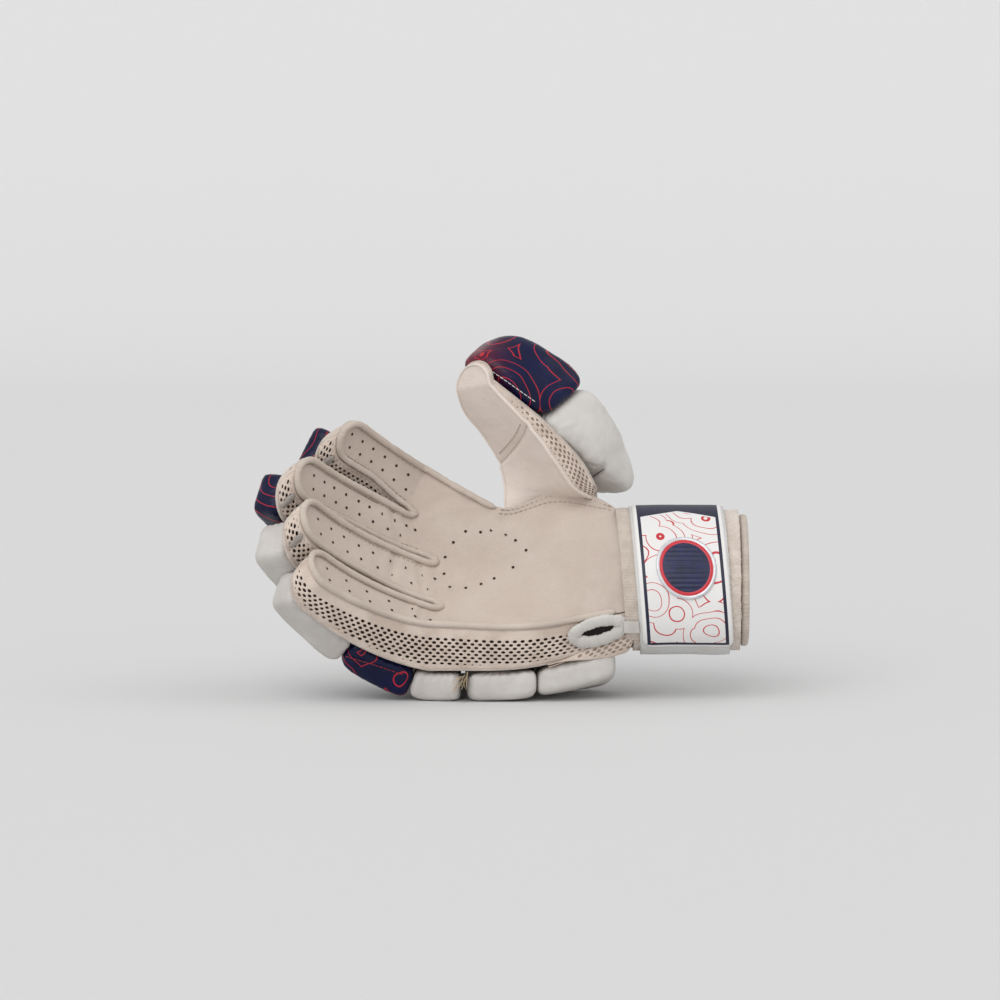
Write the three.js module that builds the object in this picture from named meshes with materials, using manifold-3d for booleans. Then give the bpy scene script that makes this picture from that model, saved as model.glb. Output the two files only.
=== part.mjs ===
// A right-hand cricket batting glove, standing on the padded rolls of its little-finger side.
//
// Millimetres, +Z up. The glove is laid out as its palm side is seen: X runs from the finger tips to
// the cuff, Z goes up towards the thumb and Y goes away from the viewer, behind the back of the hand.
// The whole glove then leans back about X and is lowered until its rolls press on the ground, Z = 0.
//
// Two sheets hold the hand, the palm leather in front and the lining of the back behind it. Five lines
// run along each sheet from the wrist to the knuckles, and the four columns between them go on as the
// fingers, which curl out of the palm. Mesh walls join the outlines of the two sheets.

import * as THREE from "three";
import { mergeVertices } from "three/addons/utils/BufferGeometryUtils.js";
import Module from "manifold-3d";

const wasm = await Module();
wasm.setup();

// Thicknesses and clearances
const LEATHER = 1.6;
const LINING = 1.4;
const MESH_CLOTH = 1.4;
const SEAM_GAP = 0.4;
const WALL_SLACK = 1.2;
const CROTCH_WIDTH = 3;
// Share of a digit's length over which its net leaves the hand's edge and settles to its own ribbon
const FINGER_SETTLE = 0.5;
const THUMB_SETTLE = 0.35;
const THUMB_BASE_GAP = 0.7;
const PIPING_RADIUS = 1.2;
const PIPING_INSET = 0.9;
const PIPING_STEPS = 26;
const PIPING_CURVE = 3;
const TRIM_GAP = 0.5;
const TRIM_TOLERANCE = 0.02;

// How the glove stands
const LEAN = THREE.MathUtils.degToRad(6);
const FLOOR_PRESS = 3;

// The wrist is an oval tube. An angle of 0 is its thumb side and 90 degrees is its palm side.
const WRIST = { y: 8, z: 57.5, halfWidth: 33, halfDepth: 23.6, tilt: THREE.MathUtils.degToRad(30) };
const WRIST_EDGE_X = 59;
const CUFF = { from: 59.4, to: 113.5, thickness: 3, lean: 0.08 };
const BINDING = { width: 4, lift: 0.6, thickness: 4 };
const STRAP = { from: 62.5, to: 107.5, thickness: 2.2 };
const PATCH = { margin: 1.5, lift: 1.6, thickness: 1.2, start: 22, end: 158, sides: 16 };
const BADGE = { x: 86, angle: 97, along: 13.5, degrees: 24, height: 2.6, sides: 20 };
// The badge's dome: how far out each ring lies and how high it stands, as shares
const BADGE_DOME = [{ reach: 0, height: 1 }, { reach: 0.55, height: 0.95 }, { reach: 0.85, height: 0.75 },
  { reach: 1, height: 0.35 }];

// The five lines of each sheet: the angle where a line starts on the wrist, then points down the hand
const FRONT_LINES = [
  { name: "ulnar", wristAngle: 138, points: [[15, -21, 36], [-30, -18, 37]] },
  { name: "little_ring", wristAngle: 115, points: [[13, -9, 46], [-26, -4.5, 45.5]] },
  { name: "ring_middle", wristAngle: 90, points: [[11, 2.5, 61], [-28.4, 12.5, 65.7]] },
  { name: "middle_index", wristAngle: 62, points: [[9, 9, 77], [-38.7, 20, 87.8]] },
  {
    name: "radial",
    wristAngle: 28,
    points: [[46, 15, 94.5], [28.8, 16, 98], [4, 15, 90], [-11.7, 19, 96.8], [-32, 28, 108.5]],
  },
];
const BACK_LINES = [
  { name: "ulnar", wristAngle: 172, points: [[15, -15, 18.5], [-30, -12, 17]] },
  { name: "little_ring", wristAngle: 215, points: [[13, 10, 19.6], [-28, 13, 18.6]] },
  { name: "ring_middle", wristAngle: 255, points: [[11, 28, 31.5], [-31, 30, 31.5]] },
  { name: "middle_index", wristAngle: 295, points: [[9, 38, 53], [-37, 41, 56]] },
  {
    name: "radial",
    wristAngle: 332,
    points: [[46, 34, 79], [28.8, 38, 79.5], [4, 42, 78.5], [-11.7, 45, 80.5], [-32, 49, 84.9]],
  },
];
const HAND_ROWS = 10;
const CELLS = 4;

// Fingers: lengths along the front, angles of curl out of the palm at the base and tip, and of splay
// towards the thumb; depth from front to back at the tip, and the turn of its back towards the rolls
const FINGERS = [
  {
    name: "little", length: 67, curlBase: 18, curlTip: 50, splay: 0, roll: -14, tipHalf: 10.5,
    tipDepth: 10, tipTurn: 25, tipShift: -3, handRoll: 13, middleRoll: 15.5, tipRoll: 18,
  },
  {
    name: "ring", length: 79, curlBase: 18, curlTip: 60, splay: 6, roll: -6, tipHalf: 11.5,
    tipDepth: 8.5, tipTurn: 6, tipShift: -5, handRoll: 20, middleRoll: 16, tipRoll: 20,
  },
  {
    name: "middle", length: 76, curlBase: 18, curlTip: 60, splay: 15, roll: 0, tipHalf: 11.5,
    tipDepth: 8, tipTurn: 0, tipShift: -6, handRoll: 16, middleRoll: 15, tipRoll: 16,
  },
  {
    name: "index", length: 53, curlBase: 20, curlTip: 60, splay: 27, roll: -12, tipHalf: 12,
    tipDepth: 7.5, tipTurn: 0, tipShift: -7, handRoll: 13, middleRoll: 12, tipRoll: 11,
  },
];
const FINGER_ROWS = 6;
const TIP_ANGLES = [25, 47, 66, 78];

// Thumb sections from the palm to the tip: the edge beside the fingers, the outer edge, and the depth
const THUMB_SECTIONS = [
  { inner: [4, 18.6, 89.5], outer: [46, 19, 93.5], depth: 30 },
  { inner: [4, 23, 100], outer: [35, 3, 99], depth: 22 },
  { inner: [1, 25, 111.6], outer: [27, -3, 110], depth: 17 },
  { inner: [-6, 24, 123], outer: [18.5, -5, 122], depth: 16 },
  { inner: [-14.5, 20, 134], outer: [7.2, -6, 135], depth: 15 },
  { inner: [-17.5, 14, 143], outer: [-3.2, -5, 146], depth: 14 },
];
const THUMB_TIP = { x: -10.8, y: 3, z: 154.5 };
const THUMB_SEAM_ROW = 6;
const THUMB_ROWS = 10;

// Rolls of padding. A place along a column is 0 at the wrist, 1 at the knuckles and 2 at the finger tip.
const ROLL_PLACES = [
  { from: 0.08, to: 0.455, size: "handRoll", width: 0.95 },
  { from: 0.465, to: 0.82, size: "handRoll", width: 0.95 },
  { from: 0.83, to: 1.08, size: "handRoll", width: 0.93 },
  { from: 1.09, to: 1.46, size: "middleRoll", width: 0.88 },
  { from: 1.47, to: 1.92, size: "tipRoll", width: 0.84 },
];
const ROLL_SQUARENESS = 0.36;
const ROLL_SIDES = 16;
const ROLL_GAP = 0.6;
const ROLL_RINGS = [-90, -50, -12, 22, 46, 68, 90];
const THUMB_ROLLS = [
  { name: "thumb_pad_base", from: -0.05, to: 0.53, startThickness: 24, endThickness: 31, lift: 1.5 },
  { name: "thumb_pad_tip", from: 0.54, to: 0.99, startThickness: 31, endThickness: 20, lift: 0 },
];
const THUMB_ROLL_REACH = { width: 1.08, shift: 0.18 };
const NAVY_ROLLS = ["little_pad_4", "ring_pad_4", "middle_pad_5", "index_pad_5", "thumb_pad_tip"];

// Bound slit on the little-finger side, and the tab that runs on from it under the strap
const SLIT = {
  row: 1, share: 0.6, halfLength: 8, halfHeight: 2.2, border: 3, thickness: 1.4, lift: 0.5, cut: 6, sides: 20,
};
const TAB = { from: 57, to: STRAP.from - SEAM_GAP, start: 146, end: 160, outer: 1.9, thickness: 1.2 };

const MATERIALS = {
  leather: new THREE.MeshStandardMaterial({ color: 0xd3c7bd, roughness: 0.62, metalness: 0 }),
  lining: new THREE.MeshStandardMaterial({ color: 0xcfc3b9, roughness: 0.8, metalness: 0 }),
  mesh: new THREE.MeshStandardMaterial({ color: 0xdcccc0, roughness: 0.9, metalness: 0 }),
  white: new THREE.MeshStandardMaterial({ color: 0xd4d6d5, roughness: 0.45, metalness: 0 }),
  navy: new THREE.MeshStandardMaterial({ color: 0x14204a, roughness: 0.25, metalness: 0 }),
  knit: new THREE.MeshStandardMaterial({ color: 0xd9cdc3, roughness: 0.95, metalness: 0 }),
  badge: new THREE.MeshStandardMaterial({ color: 0xb9bcc4, roughness: 0.3, metalness: 0 }),
};

const glove = new THREE.Group();

function vector(values) {
  return new THREE.Vector3(...values);
}

function mix(a, b, share) {
  return a.clone().lerp(b, share);
}

// A grid of points: rows run along the piece and columns run across it
function grid(rows, columns, pointAt) {
  return Array.from({ length: rows + 1 }, (_, row) =>
    Array.from({ length: columns + 1 }, (_, column) => pointAt(row / rows, column / columns, row, column)),
  );
}

// One closed solid from surface grids that may share edges: the grids are the outer face, and the
// inner face is the same net moved along the vertex normals, with a rim round every free edge. A grown
// solid is that much thicker on each side, and is used to trim pieces that come too near.
function sheetSolid(grids, thickness, grown = 0) {
  const points = [];
  const places = new Map();
  const indexOf = (point) => {
    const key = point.toArray().map((value) => Math.round(value * 1000)).join();
    if (!places.has(key)) {
      places.set(key, points.length);
      points.push(point);
    }
    return places.get(key);
  };
  const triangles = [];
  const addTriangle = (a, b, c) => {
    if (a !== b && b !== c && c !== a) triangles.push([a, b, c]);
  };
  for (const rows of grids) {
    for (let r = 0; r + 1 < rows.length; r++) {
      for (let c = 0; c + 1 < rows[r].length; c++) {
        const corners = [rows[r][c], rows[r][c + 1], rows[r + 1][c + 1], rows[r + 1][c]].map(indexOf);
        addTriangle(corners[0], corners[1], corners[2]);
        addTriangle(corners[0], corners[2], corners[3]);
      }
    }
  }
  const normals = points.map(() => new THREE.Vector3());
  const freeEdges = new Map();
  for (const [a, b, c] of triangles) {
    const edge = points[b].clone().sub(points[a]);
    const normal = edge.cross(points[c].clone().sub(points[a]));
    [a, b, c].forEach((index) => normals[index].add(normal));
    for (const [from, to] of [[a, b], [b, c], [c, a]]) {
      if (!freeEdges.delete(`${to},${from}`)) freeEdges.set(`${from},${to}`, [from, to]);
    }
  }
  const moved = (distance) => points.map((point, i) => point.clone().addScaledVector(normals[i], distance));
  normals.forEach((normal) => normal.normalize());
  const outer = moved(grown);
  const inner = moved(-thickness - grown);
  const count = points.length;
  const faces = [...triangles];
  triangles.forEach(([a, b, c]) => faces.push([c + count, b + count, a + count]));
  for (const [from, to] of freeEdges.values()) {
    faces.push([to, from, from + count], [to, from + count, to + count]);
  }
  return solidGeometry([...outer, ...inner], faces);
}

// A closed net of points and faces as a geometry, turned so that its faces point out
function solidGeometry(points, faces) {
  let volume = 0;
  for (const [a, b, c] of faces) {
    volume += points[a].dot(points[b].clone().cross(points[c]));
  }
  const outward = volume > 0 ? faces : faces.map(([a, b, c]) => [c, b, a]);
  const geometry = new THREE.BufferGeometry();
  geometry.setAttribute("position", new THREE.Float32BufferAttribute(points.flatMap((p) => p.toArray()), 3));
  geometry.setIndex(outward.flat());
  return geometry;
}

function addPiece(name, geometry, material) {
  const mesh = new THREE.Mesh(geometry, material);
  mesh.name = name;
  glove.add(mesh);
}

function toManifold(geometry) {
  const vertProperties = new Float32Array(geometry.getAttribute("position").array);
  const triVerts = new Uint32Array(geometry.getIndex().array);
  return new wasm.Manifold(new wasm.Mesh({ numProp: 3, vertProperties, triVerts }));
}

// A piece with the solids of other pieces cut out of it, as its largest part
function trimmed(geometry, cutters) {
  const cut = cutters.reduce((solid, cutter) => solid.subtract(cutter), toManifold(geometry));
  const parts = cut.decompose().sort((a, b) => b.volume() - a.volume());
  const { vertProperties, triVerts } = parts[0].simplify(TRIM_TOLERANCE).getMesh();
  const result = new THREE.BufferGeometry();
  result.setAttribute("position", new THREE.Float32BufferAttribute(Array.from(vertProperties), 3));
  result.setIndex(Array.from(triVerts));
  return result;
}

// Point on an oval section of the wrist tube, grown outward by an offset, at a place along X
function wristPoint(x, degrees, offset = 0) {
  const angle = THREE.MathUtils.degToRad(degrees);
  const across = (WRIST.halfWidth + offset) * Math.cos(angle);
  const out = (WRIST.halfDepth + offset) * Math.sin(angle);
  const y = WRIST.y + across * Math.sin(WRIST.tilt) - out * Math.cos(WRIST.tilt);
  const z = WRIST.z + across * Math.cos(WRIST.tilt) + out * Math.sin(WRIST.tilt);
  return new THREE.Vector3(x - CUFF.lean * (z - WRIST.z), y, z);
}

// The hand's net for one sheet, with a narrow cell between each two fingers
function handNet(lines) {
  const curves = lines.map(({ wristAngle, points }) => {
    const start = wristPoint(WRIST_EDGE_X, wristAngle);
    return new THREE.CatmullRomCurve3([start, ...points.map(vector)]);
  });
  const knuckles = curves.map((curve) => curve.getPoint(1));
  const places = [];
  for (let finger = 0; finger < FINGERS.length; finger++) {
    const slack = CROTCH_WIDTH / 2 / knuckles[finger].distanceTo(knuckles[finger + 1]);
    const from = finger + (finger > 0 ? slack : 0);
    const to = finger + 1 - (finger < FINGERS.length - 1 ? slack : 0);
    for (let cell = 0; cell <= CELLS; cell++) {
      places.push(THREE.MathUtils.lerp(from, to, cell / CELLS) / FINGERS.length);
    }
  }
  return grid(HAND_ROWS, places.length - 1, (along, _, row, column) => {
    const section = new THREE.CatmullRomCurve3(curves.map((curve) => curve.getPoint(along)));
    return section.getPoint(places[column]);
  });
}

// Ribbons: a centre, an across direction, a normal towards the palm side and a half width at each
// place. Frames are plain objects, and a point is centre + q * half * across + h * normal.
function ribbonPoint(frame, q, h) {
  const point = frame.centre.clone().addScaledVector(frame.across, q * frame.half);
  return point.addScaledVector(frame.normal, h);
}

function frameBetween(left, right, along) {
  const across = right.clone().sub(left);
  const half = across.length() / 2;
  across.normalize();
  const normal = across.clone().cross(along).normalize();
  return { centre: mix(left, right, 0.5), across, normal, half };
}

// Curl and splay of one finger: its front ribbon starts on the knuckle edge of the palm, and its back
// ribbon moves from the knuckle edge of the back to its own depth and turn at the tip
function fingerRibbons(finger, frontBase, backBase) {
  const alongHand = new THREE.Vector3(-1, 0, 0);
  const base = frameBetween(frontBase[0], frontBase[CELLS], alongHand);
  base.normal.applyAxisAngle(alongHand, THREE.MathUtils.degToRad(finger.roll));
  const square = alongHand.clone().cross(base.normal);
  const baseHalf = base.half * base.across.dot(square);
  const splay = THREE.MathUtils.degToRad(finger.splay);
  const forward = alongHand.clone().multiplyScalar(Math.cos(splay)).addScaledVector(square, Math.sin(splay));
  const across = forward.clone().cross(base.normal).normalize();
  const [start, end] = [finger.curlBase, finger.curlTip].map(THREE.MathUtils.degToRad);
  const radius = finger.length / (end - start);
  const tipShare = finger.tipHalf / finger.length;

  const frameAt = (place) => {
    const angle = THREE.MathUtils.lerp(start, end, place);
    const centre = base.centre.clone();
    centre.addScaledVector(forward, radius * (Math.sin(angle) - Math.sin(start)));
    centre.addScaledVector(base.normal, radius * (Math.cos(start) - Math.cos(angle)));
    const along = forward.clone().multiplyScalar(Math.cos(angle)).addScaledVector(base.normal, Math.sin(angle));
    const normal = base.normal.clone().multiplyScalar(Math.cos(angle)).addScaledVector(forward, -Math.sin(angle));
    const half = THREE.MathUtils.lerp(baseHalf, finger.tipHalf, place);
    return { centre, across, along, normal, half };
  };
  const rounding = (place) => {
    const past = Math.max(0, (place - 1 + tipShare) / tipShare);
    return Math.sqrt(Math.max(0, 1 - past * past));
  };
  const front = (place) => {
    const frame = frameAt(place);
    return { ...frame, half: frame.half * rounding(place) };
  };

  const first = frameAt(0);
  const backFrame = frameBetween(backBase[0], backBase[CELLS], first.along);
  const offset = backFrame.centre.clone().sub(first.centre);
  const shift = { across: offset.dot(first.across), along: offset.dot(first.along), depth: -offset.dot(first.normal) };
  const turnSine = backFrame.across.dot(first.normal);
  const baseTurn = Math.atan2(turnSine, backFrame.across.dot(first.across));
  const tipTurn = THREE.MathUtils.degToRad(finger.tipTurn);
  const back = (place) => {
    const frame = frameAt(place);
    const fade = (1 - place) ** 1.4;
    const turn = tipTurn + (baseTurn - tipTurn) * fade;
    const centre = frame.centre.clone();
    centre.addScaledVector(frame.across, finger.tipShift + (shift.across - finger.tipShift) * fade);
    centre.addScaledVector(frame.along, shift.along * fade);
    centre.addScaledVector(frame.normal, -finger.tipDepth - (shift.depth - finger.tipDepth) * fade);
    const turned = frame.across.clone().multiplyScalar(Math.cos(turn));
    turned.addScaledVector(frame.normal, Math.sin(turn));
    const normal = turned.clone().cross(frame.along).normalize();
    const half = THREE.MathUtils.lerp(backFrame.half, finger.tipHalf, 1 - fade);
    return { centre, across: turned, along: frame.along, normal, half: half * rounding(place), fullHalf: half };
  };
  return { front, back };
}

// Rows of a digit: even steps to where its tip starts to round, then steps round the tip
function digitRows(length, tipHalf) {
  const roundFrom = 1 - tipHalf / length;
  const straight = Array.from({ length: FINGER_ROWS + 1 }, (_, row) => (row / FINGER_ROWS) * roundFrom);
  const rounds = TIP_ANGLES.map((angle) => roundFrom + (1 - roundFrom) * Math.sin(THREE.MathUtils.degToRad(angle)));
  return [...straight, ...rounds];
}

// A finger's net on one sheet, which starts exactly on the sheet's knuckle edge and settles to its ribbon
function fingerNet(frameAt, baseRow, rows) {
  const offsets = baseRow.map((point, column) => {
    return point.clone().sub(ribbonPoint(frameAt(0), (2 * column) / CELLS - 1, 0));
  });
  return rows.map((place) =>
    offsets.map((offset, column) => {
      const point = ribbonPoint(frameAt(place), (2 * column) / CELLS - 1, 0);
      return point.addScaledVector(offset, Math.max(0, 1 - place / FINGER_SETTLE) ** 2);
    }),
  );
}

const frontHand = handNet(FRONT_LINES);
const backHand = handNet(BACK_LINES);
const digits = FINGERS.map((finger, index) => {
  const column = index * (CELLS + 1);
  const frontBase = frontHand[HAND_ROWS].slice(column, column + CELLS + 1);
  const backBase = backHand[HAND_ROWS].slice(column, column + CELLS + 1);
  const ribbons = fingerRibbons(finger, frontBase, backBase);
  const rows = digitRows(finger.length, finger.tipHalf);
  return {
    ...finger,
    column,
    ribbons,
    front: fingerNet(ribbons.front, frontBase, rows),
    back: fingerNet(ribbons.back, backBase, rows),
  };
});

// The thumb follows its own sections, with a round end
function thumbFrame(place) {
  const sections = THUMB_SECTIONS;
  const inner = new THREE.CatmullRomCurve3(sections.map((section) => vector(section.inner)));
  const outer = new THREE.CatmullRomCurve3(sections.map((section) => vector(section.outer)));
  const step = 0.02;
  const roundFrom = (sections.length - 1) / sections.length;
  const along = Math.min(1, place / roundFrom);
  const middle = (t) => mix(inner.getPoint(t), outer.getPoint(t), 0.5);
  const direction = middle(Math.min(1, along + step)).sub(middle(Math.max(0, along - step))).normalize();
  const frame = frameBetween(inner.getPoint(along), outer.getPoint(along), direction);
  const low = Math.min(sections.length - 2, Math.floor(along * (sections.length - 1)));
  const share = along * (sections.length - 1) - low;
  const depth = THREE.MathUtils.lerp(sections[low].depth, sections[low + 1].depth, share);
  const past = Math.max(0, (place - roundFrom) / (1 - roundFrom));
  const tip = new THREE.Vector3(THUMB_TIP.x, THUMB_TIP.y, THUMB_TIP.z);
  frame.centre.lerp(tip, past);
  const full = frame.half;
  frame.half *= Math.sqrt(Math.max(0, 1 - past * past));
  return { ...frame, along: direction, depth, fullHalf: full };
}

function thumbRows() {
  const roundFrom = (THUMB_SECTIONS.length - 1) / THUMB_SECTIONS.length;
  const straight = Array.from({ length: THUMB_ROWS + 1 }, (_, row) => (row / THUMB_ROWS) * roundFrom);
  const rounds = TIP_ANGLES.map((angle) => roundFrom + (1 - roundFrom) * Math.sin(THREE.MathUtils.degToRad(angle)));
  return [...straight, ...rounds];
}

const THUMB_FROM_ROW = 6;
const THUMB_TO_ROW = 2;
const RADIAL = frontHand[0].length - 1;
const thumbFront = thumbRows().map((place) =>
  Array.from({ length: CELLS + 1 }, (_, column) => ribbonPoint(thumbFrame(place), (2 * column) / CELLS - 1, 0)),
);
const thumbBackBase = Array.from({ length: CELLS + 1 }, (_, column) => backHand[THUMB_FROM_ROW - column][RADIAL]);

// The thumb's back ribbon leaves the radial edge of the back and draws in to the thumb's own depth
function thumbBackFrame(place) {
  const frame = thumbFrame(place);
  const centre = frame.centre.clone().addScaledVector(frame.normal, -frame.depth);
  return { ...frame, centre };
}
const thumbBack = thumbRows().map((place) =>
  Array.from({ length: CELLS + 1 }, (_, column) => {
    const q = (2 * column) / CELLS - 1;
    const start = thumbBackBase[column].clone().sub(ribbonPoint(thumbBackFrame(0), q, 0));
    start.setLength(Math.max(0, start.length() - THUMB_BASE_GAP));
    const settle = Math.max(0, 1 - place / THUMB_SETTLE) ** 2;
    return ribbonPoint(thumbBackFrame(place), q, 0).addScaledVector(start, settle);
  }),
);

// Wall between the outline of a front sheet and the outline of the sheet behind it
function wallNet(frontPath, backPath) {
  return frontPath.map((front, index) => {
    const back = backPath[index];
    const length = front.distanceTo(back);
    const from = (LEATHER + WALL_SLACK) / length;
    const to = 1 - (LINING + WALL_SLACK) / length;
    return [1, 0.5, 0].map((share) => mix(front, back, THREE.MathUtils.lerp(from, to, share)));
  });
}

// Outline points of a digit's net from the middle of its tip down one side, or up it
function sideOfDigit(net, side) {
  const column = side === "outer" ? CELLS : 0;
  const tip = net[net.length - 1];
  const half = CELLS / 2;
  const tipPoints = side === "outer" ? tip.slice(half, CELLS) : tip.slice(1, half + 1).reverse();
  const down = net.map((row) => row[column]).reverse();
  const path = [...tipPoints, ...down];
  path[0] = mix(path[0], path[1], 0.12);
  return path;
}

function addWalls() {
  const handSide = (net, column, from, to) => {
    const step = from < to ? 1 : -1;
    const rows = Array.from({ length: Math.abs(to - from) + 1 }, (_, index) => from + index * step);
    return rows.map((row) => net[row][column]);
  };
  const path = (sheet) => {
    const hand = sheet === "front" ? frontHand : backHand;
    const thumb = sheet === "front" ? thumbFront : thumbBack;
    const nets = digits.map((digit) => digit[sheet]);
    const ulnar = [...handSide(hand, 0, 0, HAND_ROWS - 1), ...sideOfDigit(nets[0], "inner").reverse()];
    const between = [0, 1, 2].map((k) => [
      ...sideOfDigit(nets[k], "outer"),
      ...sideOfDigit(nets[k + 1], "inner").reverse(),
    ]);
    const web = [
      ...sideOfDigit(nets[3], "outer"),
      ...handSide(hand, RADIAL, HAND_ROWS - 1, THUMB_FROM_ROW),
      ...sideOfDigit(thumb, "inner").reverse().slice(1),
    ];
    const outer = [
      ...sideOfDigit(thumb, "outer").slice(0, -1),
      ...handSide(hand, RADIAL, THUMB_TO_ROW, 0),
    ];
    return { ulnar, between, web, outer };
  };
  const front = path("front");
  const back = path("back");
  const around = [grownPalm, grownBack, grownThumb, grownThumbBack, ...grownPipings];
  const wall = (name, frontPath, backPath, material, cutters = []) => {
    const solid = sheetSolid([wallNet(frontPath, backPath)], MESH_CLOTH);
    addPiece(name, trimmed(solid, [...around, ...cutters]), material);
  };
  const ulnarNet = wallNet(front.ulnar, back.ulnar);
  const grownUlnar = grown([ulnarNet], MESH_CLOTH);
  wall("mesh_ulnar", front.ulnar, back.ulnar, MATERIALS.mesh, [slitHole(ulnarNet)]);
  addPiece("slit_binding", trimmed(slitBinding(ulnarNet), [grownUlnar, grownPalm]), MATERIALS.leather);
  addPiece("side_tab", trimmed(wristBand(TAB), [grownUlnar, grownPalm]), MATERIALS.white);
  ["mesh_little_ring", "mesh_ring_middle", "mesh_middle_index"].forEach((name, index) => {
    wall(name, front.between[index], back.between[index], MATERIALS.mesh);
  });
  wall("web_wall", front.web, back.web, MATERIALS.leather);
  wall("mesh_thumb", front.outer, back.outer, MATERIALS.mesh);
}

// Frame on the ulnar wall at the middle of its bound slit
function slitFrame(net) {
  const corner = (row, column) => net[row][column];
  const centre = mix(corner(SLIT.row, 1), corner(SLIT.row + 1, 1), SLIT.share);
  const along = corner(SLIT.row + 1, 1).clone().sub(corner(SLIT.row, 1)).normalize();
  const across = corner(SLIT.row, 0).clone().sub(corner(SLIT.row, 2));
  across.addScaledVector(along, -across.dot(along)).normalize();
  return { centre, along, across, normal: along.clone().cross(across) };
}

// Oval loop in the plane of a frame
function ovalLoop({ centre, along, across, normal }, halfLength, halfHeight, height) {
  return Array.from({ length: SLIT.sides + 1 }, (_, side) => {
    const turn = ((side % SLIT.sides) / SLIT.sides) * 2 * Math.PI;
    const point = centre.clone().addScaledVector(along, halfLength * Math.cos(turn));
    return point.addScaledVector(across, halfHeight * Math.sin(turn)).addScaledVector(normal, height);
  });
}

function slitBinding(net) {
  const frame = slitFrame(net);
  const top = SLIT.lift + SLIT.thickness;
  const outer = (height) => ovalLoop(frame, SLIT.halfLength + SLIT.border, SLIT.halfHeight + SLIT.border, height);
  const inner = (height) => ovalLoop(frame, SLIT.halfLength, SLIT.halfHeight, height);
  return netsSolid([[outer(SLIT.lift), outer(top), inner(top), inner(SLIT.lift), outer(SLIT.lift)]]);
}

function slitHole(net) {
  const frame = slitFrame(net);
  const loop = (reach, height) => ovalLoop(frame, SLIT.halfLength * reach, SLIT.halfHeight * reach, height);
  return toManifold(netsSolid([[loop(0, -SLIT.cut), loop(1, -SLIT.cut), loop(1, SLIT.cut), loop(0, SLIT.cut)]]));
}

// The leather and lining sheets, and the same sheets grown by the gap, which trim the other pieces
const flip = (net) => net.map((row) => [...row].reverse());
const palmNets = [frontHand, ...digits.map((digit) => digit.front)];
const backNets = [backHand, ...digits.map((digit) => digit.back)].map(flip);
const grown = (nets, thickness) => {
  return toManifold(sheetSolid(nets, thickness, TRIM_GAP)).add(toManifold(sheetSolid(nets, thickness)));
};
const grownPalm = grown(palmNets, LEATHER);
const grownBack = grown(backNets, LINING);
const grownThumb = grown([thumbFront], LEATHER);
const grownThumbBack = grown([flip(thumbBack)], LINING);

function addSheets() {
  addPiece("palm_leather", sheetSolid(palmNets, LEATHER), MATERIALS.leather);
  addPiece("back_lining", sheetSolid(backNets, LINING), MATERIALS.lining);
  const base = thumbFront.slice(0, THUMB_SEAM_ROW + 1);
  const tip = thumbFront.slice(THUMB_SEAM_ROW);
  tip[0] = tip[0].map((point, column) => mix(point, tip[1][column], 0.08));
  addPiece("thumb_leather_base", trimmed(sheetSolid([base], LEATHER), [grownPalm]), MATERIALS.leather);
  addPiece("thumb_leather_tip", sheetSolid([tip], LEATHER), MATERIALS.leather);
  addPiece("thumb_back", trimmed(sheetSolid([flip(thumbBack)], LINING), [grownBack]), MATERIALS.lining);
}

// A roll of padding on the outside of a back sheet: a squared oval in plan and in section. The sheet
// is given as a function of a place along it, a share across it and a height out of the palm side.
function rollSolid(pointAt, from, to, thickness, widthShare) {
  const power = (value, exponent) => Math.sign(value) * Math.abs(value) ** exponent;
  const points = [];
  const rings = ROLL_RINGS.map((degrees) => {
    const latitude = THREE.MathUtils.degToRad(degrees);
    const reach = power(Math.cos(latitude), ROLL_SQUARENESS);
    const height = (1 + power(Math.sin(latitude), ROLL_SQUARENESS + 0.2)) / 2;
    const sides = Math.abs(degrees) === 90 ? 1 : ROLL_SIDES;
    return Array.from({ length: sides }, (_, side) => {
      const angle = (side / ROLL_SIDES) * 2 * Math.PI;
      const along = sides === 1 ? 0 : reach * power(Math.cos(angle), ROLL_SQUARENESS);
      const across = sides === 1 ? 0 : reach * power(Math.sin(angle), ROLL_SQUARENESS);
      const place = THREE.MathUtils.lerp(from, to, (along + 1) / 2);
      points.push(pointAt(place, across * widthShare, -height * thickness));
      return points.length - 1;
    });
  });
  const faces = [];
  for (let ring = 0; ring + 1 < rings.length; ring++) {
    for (let side = 0; side < ROLL_SIDES; side++) {
      const next = (side + 1) % ROLL_SIDES;
      const [low, high] = [rings[ring], rings[ring + 1]];
      const corner = (list, index) => list[list.length === 1 ? 0 : index];
      if (low.length > 1) faces.push([corner(low, side), corner(low, next), corner(high, next)]);
      if (high.length > 1) faces.push([corner(low, side), corner(high, next), corner(high, side)]);
    }
  }
  return solidGeometry(points, faces);
}

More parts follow.
